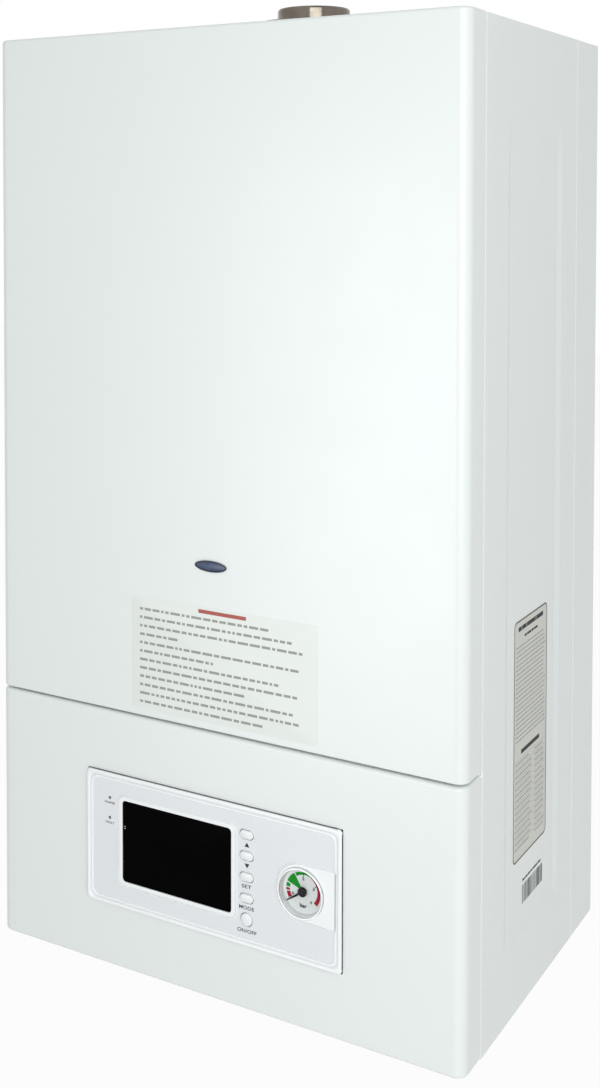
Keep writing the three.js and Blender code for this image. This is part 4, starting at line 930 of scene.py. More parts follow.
def tray(extent, corner, edges, back_at, shares, across, levels):
    """A folded tray, open at the back. Its wall is the plan carried up through quarter-circle edges at its
    foot and its head. Its top and bottom fill the plan: each point there is a share of the way from the rear
    line to the plan."""
    half = extent.high[0]
    foot, head = extent.low[2], extent.high[2]
    foot_edge, head_edge = edges
    angle = np.linspace(0, RIGHT_ANGLE, 7)
    runs, rises = 1 - np.sin(angle), 1 - np.cos(angle)
    heights = np.concatenate([foot + foot_edge * rises, levels, head - head_edge * rises[::-1]])
    insets = np.concatenate([foot_edge * runs, np.zeros(len(levels)), head_edge * runs[::-1]])
    plans = [
        lay(tray_plan(half, extent.low[1], corner, inset, back_at(height), shares, across), height, "top")
        for inset, height in zip(insets, heights)
    ]
    wall_surface = grid(np.array(plans))

    def flange(plan, height):
        rim = plan[len(shares) : len(plan) - len(shares)]
        back = back_at(height)
        ways = np.append(shares, 1.0)[:, None]
        sideways = np.broadcast_to(rim[:, 0], (len(ways), len(rim)))
        flat = np.stack([sideways, back + ways * (rim[:, 1] - back)], axis=-1)
        return grid(lay(flat, height, "top"))

    return merged(wall_surface, flange(plans[0], foot), flipped(flange(plans[-1], head)))


def without(surface, low, high):
    """A surface without the faces whose middles lie in a box."""
    points, quads = surface
    middles = points[quads].mean(axis=1)
    inside = np.all((middles > low) & (middles < high), axis=1)
    return points, quads[~inside]


class BOILER_OT_build_cover(bpy.types.Operator):
    """Folded front cover with its round edges"""

    bl_idname = "boiler.build_cover"
    bl_label = "Front cover"

    def execute(self, context):
        casing = context.scene.boiler_casing
        shares = np.linspace(0, 1, 6)[:-1]
        across = np.linspace(COVER.low[0], COVER.high[0], 25)[1:-1]
        levels = np.linspace(COVER.low[2], COVER.high[2], 31)[1:-1]
        edges = (casing.cover_foot, casing.edge)
        back = COVER.high[1] + casing.lap
        surface = tray(COVER, casing.corner, edges, lambda height: back, shares, across, levels)
        wall(form("cover_tray", surface, "cover", enamel(), ("front_cover",)), casing.sheet)
        return {"FINISHED"}


class BOILER_OT_build_fascia(bpy.types.Operator):
    """Folded lower front with the control panel's aperture and its two hinge ears"""

    bl_idname = "boiler.build_fascia"
    bl_label = "Control fascia"

    def execute(self, context):
        casing = context.scene.boiler_casing
        bezel = Extent("control_bezel")
        axis_y, axis_z = hinge_axis()
        swing = FASCIA.high[1] + casing.lap - axis_y
        notch = 5.3 * MM
        ear_inset = 7.6 * MM
        ear = Extent("right_hinge_bracket").high[0] - ear_inset
        ear_reach = 2 * MM

        def back_at(height):
            """Below the hinge the rear edge follows a circle round it, so that the fascia can swing."""
            below = min(0.0, height - axis_z)
            return axis_y + math.sqrt(swing**2 - below**2)

        notch_front = axis_y - 2 * EAR_RADIUS
        rear = back_at(FOOT)
        notch_share = (notch_front - rear) / (FRONT + casing.edge - rear)
        shares = np.unique(np.concatenate([np.linspace(0, 1, 6)[:-1], [notch_share]]))
        inset = -casing.aperture_gap
        hole_low = bezel.low + inset
        hole_high = bezel.high - inset
        across = np.linspace(FASCIA.low[0], FASCIA.high[0], 25)[1:-1]
        notch_sides = [ear - ear_reach, ear - ear_reach + notch]
        marks = [hole_low[0], hole_high[0], *notch_sides, *(-np.array(notch_sides))]
        across = clear_of(across, marks)
        levels = clear_of(np.linspace(FASCIA.low[2], FASCIA.high[2], 15)[1:-1], [hole_low[2], hole_high[2]])
        levels = np.unique(np.append(levels, axis_z))
        edges = (casing.edge, casing.fascia_head)
        surface = tray(FASCIA, casing.corner, edges, back_at, shares, across, levels)
        mouth_low = (hole_low[0], FRONT - MM, hole_low[2])
        mouth_high = (hole_high[0], FRONT + MM, hole_high[2])
        surface = without(surface, mouth_low, mouth_high)
        for side in (-1, 1):
            span = sorted(side * np.array(notch_sides))
            low = (span[0], notch_front, FOOT - MM)
            high = (span[1], FASCIA.high[1] + 2 * MM, FOOT + casing.edge / 2)
            surface = without(surface, low, high)
        fascia = form("fascia_tray", surface, "control_flap", enamel(), ("control_fascia",))
        wall(fascia, casing.sheet)
        sheet = 2 * MM
        bracket_gap = 1.6 * MM
        inner = ear + sheet + bracket_gap
        for side, name in ((-1, "left_fascia_ear"), (1, "right_fascia_ear")):
            tongue = fascia_ear(side * (inner + sheet / 2), sheet, axis_y, axis_z)
            form(name, tongue, "control_flap", enamel())
        return {"FINISHED"}


def clear_of(stations, marks, gap=6 * MM):
    """Stations along a side with the marks added and those too close to a mark left out."""
    marks = np.asarray(marks, float)
    far = np.min(np.abs(stations[:, None] - marks), axis=1) > gap
    return np.unique(np.concatenate([stations[far], marks]))


def hinge_axis():
    """Depth and height of the axis that the fascia turns on, from its joint in the record."""
    joint = next(joint for joint in frame["joints"] if joint["name"] == "panel_drop")
    return joint["pos_m"][1], joint["pos_m"][2]


def fascia_ear(x, sheet, axis_y, axis_z):
    """An ear behind the fascia: a tongue with a half-round end and a pin hole, as a ring of points round the
    tongue and a ring round the hole, carried through the sheet."""
    hole_radius = 2.3 * MM
    inside = 0.6 * MM
    angle = np.linspace(0, 2 * math.pi, 48, endpoint=False)
    hole = np.stack([axis_y + hole_radius * np.cos(angle), axis_z + hole_radius * np.sin(angle)], axis=-1)
    root = FRONT + inside
    foot = FOOT + inside
    flat_y = axis_y + np.where(np.cos(angle) > 0, EAR_RADIUS, axis_y - root) * np.cos(angle)
    flat_z = np.maximum(axis_z + EAR_RADIUS * np.sin(angle), foot)
    rim = np.stack([flat_y, flat_z], axis=-1)
    half = sheet / 2
    sections = ((hole, -half), (rim, -half), (rim, half), (hole, half))
    rings = [lay(ring, x + offset, "side") for ring, offset in sections]
    return outward(grid(np.array(rings), wrap=True, loop=True))


def pressing(y, z, casing, mouth_low, mouth_high):
    """How deep a side panel is pressed in at a point: the distance inside a rounded rectangle, carried
    through a ramp with a rounded brow and toe."""
    centre = (mouth_low + mouth_high) / 2
    radius = casing.recess_corner
    beyond_y = np.abs(y - centre[0]) - (mouth_high[0] - mouth_low[0]) / 2 + radius
    beyond_z = np.abs(z - centre[1]) - (mouth_high[1] - mouth_low[1]) / 2 + radius
    outside = np.hypot(np.maximum(beyond_y, 0), np.maximum(beyond_z, 0))
    inside = -(outside + np.minimum(np.maximum(beyond_y, beyond_z), 0) - radius)
    fade = np.clip((mouth_high[1] - z) / casing.recess_fade, 0, 1)
    way = np.clip(inside / casing.recess_slope, 0, 1) * fade
    soft = 0.22
    brow = way**2 / (2 * soft * (1 - soft))
    toe = 1 - (1 - way) ** 2 / (2 * soft * (1 - soft))
    ramp = np.where(way < soft, brow, np.where(way > 1 - soft, toe, (way - soft / 2) / (1 - soft)))
    return casing.recess_depth * ramp


def side_surface(extent, casing):
    """The right side panel: a plan with a fold at the front, carried up the panel and pressed inwards."""
    front, back = extent.low[1], extent.high[1] + casing.lap
    foot, head = extent.low[2], extent.high[2]
    bent = [(extent.low[0], front), (extent.high[0], front), (extent.high[0], back)]
    fold = soften(bent, casing.fold, 5)[:-1]
    mouth_low = np.array([front + casing.recess_front, foot + casing.recess_foot])
    mouth_high = np.array([back - casing.recess_back, head - casing.recess_head])
    slope = np.linspace(0, casing.recess_slope, 11)
    depths = np.concatenate([
        np.linspace(fold[-1, 1], mouth_low[0], 6)[1:-1], mouth_low[0] + slope,
        np.linspace(mouth_low[0] + casing.recess_slope, mouth_high[0] - casing.recess_slope, 12)[1:-1],
        mouth_high[0] - slope[::-1], np.linspace(mouth_high[0], back, 6)[1:],
    ])
    flat = np.stack([np.full(len(depths), extent.high[0]), depths], axis=-1)
    plan = np.vstack([fold, flat])
    heights = np.concatenate([
        np.linspace(foot, mouth_low[1], 6)[:-1], mouth_low[1] + slope,
        np.linspace(mouth_low[1] + casing.recess_slope, mouth_high[1] - casing.recess_slope, 40)[1:-1],
        mouth_high[1] - slope[::-1], np.linspace(mouth_high[1], head, 6)[1:],
    ])
    points = np.empty((len(heights), len(plan), 3))
    points[..., 0] = plan[:, 0] - pressing(plan[:, 1], heights[:, None], casing, mouth_low, mouth_high)
    points[..., 1] = plan[:, 1]
    points[..., 2] = heights[:, None]
    return grid(points)


class BOILER_OT_build_sides(bpy.types.Operator):
    """Side panels with their pressed recess and front fold"""

    bl_idname = "boiler.build_sides"
    bl_label = "Side panels"

    def execute(self, context):
        casing = context.scene.boiler_casing
        points, quads = side_surface(Extent("right_side_panel"), casing)
        mirrored = (points * (-1, 1, 1), quads[:, ::-1])
        for name, node, surface in (
            ("right_side_sheet", "right_side_panel", (points, quads)),
            ("left_side_sheet", "left_side_panel", mirrored),
        ):
            wall(form(name, surface, "root", enamel(), (node,)), casing.sheet)
        self.seams(casing)
        return {"FINISHED"}

    @staticmethod
    def seams(casing):
        """White strips in the seams in front of the side panels and behind them. They are in the brighter
        moulding: a painted highlight line along each seam, in place of the gap's shade.
        """
        panel = Extent("right_side_panel")
        depth, width, height = 1.2 * MM, casing.seam, panel.size[2] - 1 * MM
        proud = 0.03 * MM
        # Each strip is a painted highlight line in the brighter moulding.
        for side, name in ((-1, "left_seam_strips"), (1, "right_seam_strips")):
            across = side * (panel.high[0] + proud - depth / 2)
            middles = (panel.low[1] + width / 2, panel.high[1] + casing.lap - width / 2)
            centres = [(across, y, panel.middle[2]) for y in middles]
            strips = boxes(centres, (depth, width, height))
            bevel(form(name, strips, "root", rim_moulding()), 0.4 * MM, 3)


def screw_head(centre, radius, rise):
    """A pan-head screw seen from above: a dome of rings, sunk where a cross of two slots passes."""
    fall, slot_half, slot_reach, slot_floor = 0.8, 0.14, 0.6, 0.45
    turns = np.linspace(0, 2 * math.pi, 32, endpoint=False)
    shares = np.linspace(1, 0, 9)[:-1]
    x = shares[:, None] * np.cos(turns)
    y = shares[:, None] * np.sin(turns)
    dome = np.broadcast_to(np.sqrt(1 - fall * shares[:, None] ** 2), x.shape)
    slot = (np.minimum(np.abs(x), np.abs(y)) < slot_half) & (shares[:, None] < slot_reach)
    level = rise * np.where(slot, dome * slot_floor, dome)
    rings = np.stack([centre[0] + radius * x, centre[1] + radius * y, centre[2] + level], axis=-1)
    skirt = rings[:1].copy()
    skirt[..., 2] = centre[2] - rise / 2
    return closed(np.concatenate([skirt, rings]))


def screw_places():
    """Screws that hold the top panel and the collar's flange."""
    deck = Extent("top_panel")
    flange = Extent("air_intake_collar")
    inset = 9 * MM
    span = deck.size[1] / 2 - 16 * MM
    sides = (deck.low[0] + inset, deck.high[0] - inset)
    along = [(x, deck.middle[1] + way * span, deck.high[2]) for x in sides for way in (-1, 0, 1)]
    radius = flange.size[0] / 2 - 6 * MM
    top = flange.low[2] + 1.5 * MM
    ring = [
        (flange.middle[0] + radius * math.cos(turn), flange.middle[1] + radius * math.sin(turn), top)
        for turn in np.radians([45, 135, 225, 315])
    ]
    return along + ring


class BOILER_OT_build_back(bpy.types.Operator):
    """Rear frame, wall bracket, top and bottom panels and the top's screws"""

    bl_idname = "boiler.build_back"
    bl_label = "Rear frame and decks"

    def execute(self, context):
        dress("rear_frame", enamel(), 1.0 * MM, 3)
        dress("wall_bracket", zinc(), 0.4 * MM)
        dress("top_panel", enamel(), 0.25 * MM)
        dress("bottom_panel", enamel(), 0.25 * MM)
        for number, centre in enumerate(screw_places(), start=1):
            form(f"top_screw_{number}", screw_head(centre, 3.4 * MM, 1.6 * MM), "root", zinc())
        return {"FINISHED"}


class BOILER_OT_build_sight_glass(bpy.types.Operator):
    """Oval sight glass: a dark rim round a domed blue lens"""

    bl_idname = "boiler.build_sight_glass"
    bl_label = "Sight glass"

    def execute(self, context):
        glass = Extent("sight_glass")
        centre = glass.middle[[0, 2]]
        width, height = glass.size[[0, 2]]
        rim_width = 1.1 * MM

        def outline(inset):
            return circle(0.5, 72) * (width - 2 * inset, height - 2 * inset)

        def lens_outline(inset):
            return outline(inset + rim_width + 0.02 * MM)

        rim = frame_ring(outline, centre, glass.low[1] + 0.1 * MM, FRONT - 0.05 * MM, rim_width, 0.35 * MM)
        form("sight_glass_rim", rim, "cover", sight_rim())
        lens_body = plate(lens_outline, centre, glass.low[1], glass.high[1], 0.3 * MM, 0.55 * MM, steps=7)
        form("sight_glass_lens", lens_body, "cover", sight_blue(), ("sight_glass",))
        return {"FINISHED"}


# ---- Labels ----

FILM_FACE = 0.12 * MM
FILM_BACK = 0.02 * MM
FILM_EDGE = 0.04 * MM
PRINT_FACE = 0.13 * MM
PRINT_DEPTH = 0.04 * MM


def word_rows(left, right, heights, stroke, level, seed, face="front", gap=0.9 * MM, shortest=2.0 * MM):
    """Rows of dashes, one for each word of a text that isn't spelt: seeded lengths laid end to end with a
    gap, kept while they fit before the row's own right end."""
    most, longer = 60, 3.6
    dice = np.random.default_rng(seed)
    lengths = shortest + dice.random((len(heights), most)) * longer * shortest
    ends = np.cumsum(lengths + gap, axis=1)
    starts = ends - lengths - gap
    fits = starts + lengths < np.reshape(right, (-1, 1)) - left
    row = np.broadcast_to(np.asarray(heights)[:, None], lengths.shape)
    flat = np.stack([left + starts + lengths / 2, row], axis=-1)[fits]
    sizes = lay(np.stack([lengths[fits], np.full(fits.sum(), stroke)], axis=-1), PRINT_DEPTH, face)
    return boxes(lay(flat, level, face), sizes)


def bars(centres, sizes, level, face="front"):
    """Flat printed bars from their middles and sizes on a face."""
    return boxes(lay(np.atleast_2d(centres), level, face), lay(np.atleast_2d(sizes), PRINT_DEPTH, face))


class BOILER_OT_build_labels(bpy.types.Operator):
    """Sticker on the cover and label on the right side, with dashes for their words"""

    bl_idname = "boiler.build_labels"
    bl_label = "Labels"

    def execute(self, context):
        self.sticker()
        self.data_label()
        return {"FINISHED"}

    @staticmethod
    def sticker():
        """The sticker low on the cover: a pale ground, a red heading and twelve rows."""
        left, right = -71 * MM, 89 * MM
        low, high = FOOT + 207 * MM, FOOT + 293 * MM
        centre = ((left + right) / 2, (low + high) / 2)

        def outline(inset):
            return rounded(right - left - 2 * inset, high - low - 2 * inset, 2 * MM)

        ground = plate(outline, centre, FRONT - FILM_FACE, FRONT - FILM_BACK, FILM_EDGE)
        form("cover_sticker", ground, "cover", sticker_paper())
        level = FRONT - PRINT_FACE
        margin = 7.5 * MM
        rows = high - 9.2 * MM - np.arange(12) * 6.45 * MM
        ends = np.array([55, 70, 81, -25, 82, 8, 60, 77, 32, 74, 80, 48]) * MM
        text = word_rows(left + margin, ends, rows, 1.9 * MM, level, 11, gap=1.5 * MM)
        form("cover_sticker_text", text, "cover", grey_ink())
        heading = bars([(9.5 * MM, high - 3.6 * MM)], (41 * MM, 2.8 * MM), level)
        form("cover_sticker_heading", heading, "cover", red_ink())

    @staticmethod
    def data_label():
        """The label in the side's recess: outline, heading, text rows, a ruled table and a row of bars."""
        panel = Extent("right_side_panel")
        casing = bpy.context.scene.boiler_casing
        floor = panel.high[0] - casing.recess_depth
        front, back = -184 * MM, -112 * MM
        low, high = FOOT + 108.6 * MM, FOOT + 287.5 * MM
        centre = ((front + back) / 2, (low + high) / 2)

        def outline(inset):
            return rounded(back - front - 2 * inset, high - low - 2 * inset, max(5 * MM - inset, MM))

        ground = plate(outline, centre, floor + FILM_FACE, floor + FILM_BACK, FILM_EDGE, face="side")
        form("side_label", ground, "root", label_foil())
        level = floor + PRINT_FACE
        margin, stroke, hair = 0.5 * MM, 0.9 * MM, 0.01 * MM

        def border_outline(inset):
            return outline(inset + margin)

        front_level, back_level = floor + 0.16 * MM, floor + 0.1 * MM
        border = frame_ring(border_outline, centre, front_level, back_level, stroke, hair, "side")
        form("side_label_border", border, "root", dark_ink())
        left, right = front + 4 * MM, back - 4 * MM
        rows = (
            (5 * MM, 3 * MM, 7 * MM, 3.2 * MM, 3, 5 * MM),
            (18 * MM, 12 * MM, 14 * MM, 1.8 * MM, 8, 2.0 * MM),
            (12 * MM, 12 * MM, 99 * MM, 3.2 * MM, 4, 9 * MM),
        )
        heading = merged(
            *(
                word_rows(left + near, right - far, [high - drop], stroke, level, seed, "side", shortest=least)
                for near, far, drop, stroke, seed, least in rows
            )
        )
        form("side_label_headings", heading, "root", dark_ink())
        upper = high - 20 * MM - np.arange(22) * 3.3 * MM
        table = high - 106 * MM - np.arange(15) * 4.5 * MM
        middle = (left + right) / 2 + 8 * MM
        text = merged(
            word_rows(left, right, upper, 1.0 * MM, level, 21, "side", 0.7 * MM, 1.4 * MM),
            word_rows(left, middle - 4 * MM, table, 1.1 * MM, level, 22, "side", 0.7 * MM, 1.6 * MM),
            word_rows(middle + 2 * MM, right, table, 1.1 * MM, level, 23, "side", 0.7 * MM, 1.6 * MM),
        )
        form("side_label_text", text, "root", grey_ink())
        rules = table + 2.25 * MM
        centres = np.stack([np.full(len(rules), (left + right) / 2), rules], axis=-1)
        lines = bars(centres, np.broadcast_to((right - left, 0.25 * MM), centres.shape), level, "side")
        form("side_label_rules", lines, "root", grey_ink())
        dice = np.random.default_rng(2)
        places = np.linspace(-163 * MM, -120 * MM, 34)
        widths = dice.choice([0.35, 0.6, 0.9], len(places)) * MM
        columns = np.stack([places, np.full(len(places), FOOT + 80 * MM)], axis=-1)
        sizes = np.stack([widths, np.full(len(places), 14 * MM)], axis=-1)
        code = merged(
            bars(columns, sizes, floor + 0.03 * MM, "side"),
            word_rows(-163 * MM, -119 * MM, [FOOT + 90.5 * MM], 1.6 * MM, floor + 0.03 * MM, 6, "side"),
        )
        form("side_bars", code, "root", dark_ink())


# ---- Control panel ----


def panel_levels():
    """Depths of the bezel: its rim's front, its raised surrounds and its sunk face."""
    surround_drop, face_drop = 0.4 * MM, 1.4 * MM
    rim = Extent("control_bezel").low[1]
    return rim, rim + surround_drop, rim + face_drop


class BOILER_OT_build_panel(bpy.types.Operator):
    """Bezel, display window, lamps and the parts behind them"""

    bl_idname = "boiler.build_panel"
    bl_label = "Control panel"

    def execute(self, context):
        panel = context.scene.boiler_panel
        self.bezel(panel)
        window = Extent("display_window")
        width, height = window.size[[0, 2]]

        def outline(inset):
            return rounded(width - 2 * inset, height - 2 * inset, panel.window_corner - inset)

        glass = plate(outline, window.middle[[0, 2]], window.low[1], window.high[1], 0.35 * MM)
        form("window_glass", glass, "control_flap", screen(), ("display_window",))
        mark = (window.low[0] + 2.2 * MM, window.high[2] - 20 * MM)
        dashes = bars([mark, (mark[0], mark[1] - 1.5 * MM)], (1.3 * MM, 0.7 * MM), window.low[1] - 0.03 * MM)
        form("window_segment", dashes, "control_flap", segment())
        for node in ("power_lamp", "fault_lamp"):
            self.lamp(Extent(node), node)
        dress("control_box", grey_plastic(), 0.8 * MM)
        dress("control_board", board(), 0.3 * MM)
        for node in ("left_hinge_bracket", "right_hinge_bracket"):
            dress(node, zinc(), 0.4 * MM)
        return {"FINISHED"}

    @staticmethod
    def bezel(panel):
        """The moulding levelled at its sunk face. On it stand a rounded rim, an embossed line inside the rim,
        and the surrounds of the display and the gauge, all in the brighter moulding that paints their highlight."""
        bezel, window, case = Extent("control_bezel"), Extent("display_window"), Extent("gauge_case")
        rim_front, raised, face = panel_levels()
        bevel(dress("control_bezel", moulding(), 0, front=face), panel.moulding_edge, 2)
        width, height = bezel.size[[0, 2]]
        outer_corner, inner_corner = 3 * MM, 6 * MM

        def rim_outline(inset):
            corner = outer_corner + (inner_corner - outer_corner) * min(1.0, inset / panel.rim)
            return rounded(width - 2 * inset, height - 2 * inset, corner)

        def line_outline(inset):
            return rim_outline(inset + panel.rim + panel.rim_groove)

        def surround_outline(inset):
            grow = 2 * (panel.surround + 0.1 * MM - inset)
            corner = panel.window_corner + (panel.surround - inset) * 0.7
            return rounded(window.size[0] + grow, window.size[2] + grow, corner)

        back = face + 2.5 * MM
        middle, window_middle = bezel.middle[[0, 2]], window.middle[[0, 2]]
        surfaces = {
            "bezel_rim": frame_ring(rim_outline, middle, rim_front, back, panel.rim, panel.rim_edge),
            "bezel_line": frame_ring(line_outline, middle, raised, back, panel.line, panel.line / 3),
            "display_surround": grooved_frame(surround_outline, window_middle, raised, back, panel),
            "gauge_surround": gauge_surround(case, bezel.high[0] - panel.rim, raised, back, panel),
        }
        # The raised parts take the brighter moulding: a painted highlight.
        for name, surface in surfaces.items():
            form(name, surface, "control_flap", rim_moulding())

    @staticmethod
    def lamp(extent, node):
        """A lamp's pin with a round nose."""
        pin_share, nose_share = 0.6, 0.8
        radius = extent.size[0] / 2 * pin_share
        front, back = extent.low[1], extent.high[1]
        nose = soften([(0, front), (radius, front), (radius, back), (0, back)], radius * nose_share)
        pin = lathe(nose, extent.middle[[0, 2]], "y", 32)
        form(f"{node}_pin", pin, "control_flap", lamp_lens(), (node,))


def groove_steps(front, panel):
    """The section of a surround's outer edge, as (inset, depth): a lip, and a groove down to the face."""
    lip, far, floor = panel.lip, panel.lip + panel.groove, panel_levels()[2] + 0.2 * MM
    return [(0, front), (lip, front), (lip, floor), (far, floor), (far, front)]


def grooved_frame(outline, centre, front, back, panel):
    """A raised frame whose outer edge is a lip with a groove behind it."""
    width = panel.surround
    section = soften_loop([(0, back), *groove_steps(front, panel), (width, front), (width, back)],
                          panel.surround_edge, 3)
    rings = [lay(outline(inset) + centre, level) for inset, level in section]
    return outward(grid(np.array(rings), wrap=True, loop=True))


def gauge_surround(case, right, front, back, panel):
    """The raised surround of the gauge. Its outline is a half circle that runs on to the rim at the right:
    along a ray from the gauge's middle it lies at the radius, at the radius over the ray's sine, or at the
    rim. The section goes from that outline over a rounded edge to the gauge's hole and back."""
    centre = case.middle[[0, 2]]
    reach = 21.5 * MM
    hole = case.size[0] / 2 + 0.15 * MM
    way = circle(1.0, 192)
    side = right - centre[0]
    run = np.minimum(reach / np.maximum(np.abs(way[:, 1]), TINY), side / np.maximum(way[:, 0], TINY))
    outline = np.where(way[:, 0] > 0, run, reach)
    rim = panel.lip + panel.groove
    section = soften([(0, back), *groove_steps(front, panel), (rim + 1 * MM, front)], panel.surround_edge, 3)
    radii = [outline - inset for inset, _ in section] + [np.full(len(way), hole)] * 2
    levels = [level for _, level in section] + [front, back]
    rings = [lay(way * radius[:, None] + centre, level) for radius, level in zip(radii, levels)]
    return outward(grid(np.array(rings), wrap=True, loop=True))


class BOILER_OT_build_buttons(bpy.types.Operator):
    """Four oval buttons and a round one, with their collars and the words beside them"""

    bl_idname = "boiler.build_buttons"
    bl_label = "Buttons"

    def execute(self, context):
        panel = context.scene.boiler_panel
        bodies = {"up": "up_button", "down": "down_button", "set": "set_button", "mode": "mode_button",
                  "on_off": "on_off_button"}
        for key, body in bodies.items():
            self.button(key, body, panel)
        self.words(panel)
        return {"FINISHED"}

    @staticmethod
    def button(key, body, panel):
        """A domed cap on a stem with a lip behind the bezel, in a collar."""
        extent = Extent(f"button_{key}")
        lip = panel.button_lip
        socket_gap = 0.6 * MM
        hole = extent.size[[0, 2]] - 2 * lip + socket_gap
        centre = extent.middle[[0, 2]]
        gap = panel.button_collar + panel.button_gap
        face = panel_levels()[2]

        def collar(inset):
            width, height = hole - 2 * inset
            return rounded(width, height, min(width, height) / 2 - 1e-5, 12)

        def cap(inset):
            return collar(inset + gap)

        def foot(inset):
            width, height = extent.size[[0, 2]] - 2 * inset
            return rounded(width, height, 2 * MM, 12)

        top = extent.high[1] - lip
        surfaces = merged(
            plate(cap, centre, extent.low[1], top + 0.1 * MM, panel.button_edge, panel.button_dome, steps=6),
            plate(foot, centre, top, extent.high[1], 0.2 * MM),
        )
        form(f"{key}_cap", surfaces, body, button_plastic(), (f"button_{key}",))
        ring = frame_ring(collar, centre, face - 0.25 * MM, face + 2 * MM, panel.button_collar, 0.25 * MM)
        form(f"{key}_collar", ring, "control_flap", moulding())

    @staticmethod
    def words(panel):
        """Arrows and words under the buttons and the lamps' names."""
        level = panel_levels()[2] - 0.01 * MM
        column = Extent("button_up").middle[0] + 0.3 * MM
        for name, node, upright in (("up_arrow", "button_up", 1), ("down_arrow", "button_down", -1)):
            z = Extent(node).middle[2] - 7.4 * MM
            corners = np.array([(-2.1, -1.7), (2.1, -1.7), (0.0, 1.7)]) * MM * (1, upright) + (column, z)
            shape = closed([lay(corners, level), lay(corners, level - 0.03 * MM)])
            form(name, shape, "control_flap", dark_ink())
        words = (
            ("word_set", "SET", "button_set", 0.0, 6.9, 8.2, panel.letter),
            ("word_mode", "MODE", "button_mode", 0.0, 7.0, 12.6, panel.letter),
            ("word_on_off", "ON/OFF", "button_on_off", 0.3, 8.5, 16.2, panel.letter),
            ("word_power", "POWER", "power_lamp", 0.3, 3.8, 9.6, panel.small_letter),
            ("word_fault", "FAULT", "fault_lamp", 0.3, 3.8, 8.0, panel.small_letter),
        )
        for name, text, node, aside, drop, width, height in words:
            x, z = Extent(node).middle[[0, 2]]
            lettering(name, text, (width * MM, height), (x + aside * MM, z - drop * MM), level, dark_ink(),
                      "control_flap", weight=0.007)


# ---- Pressure gauge ----


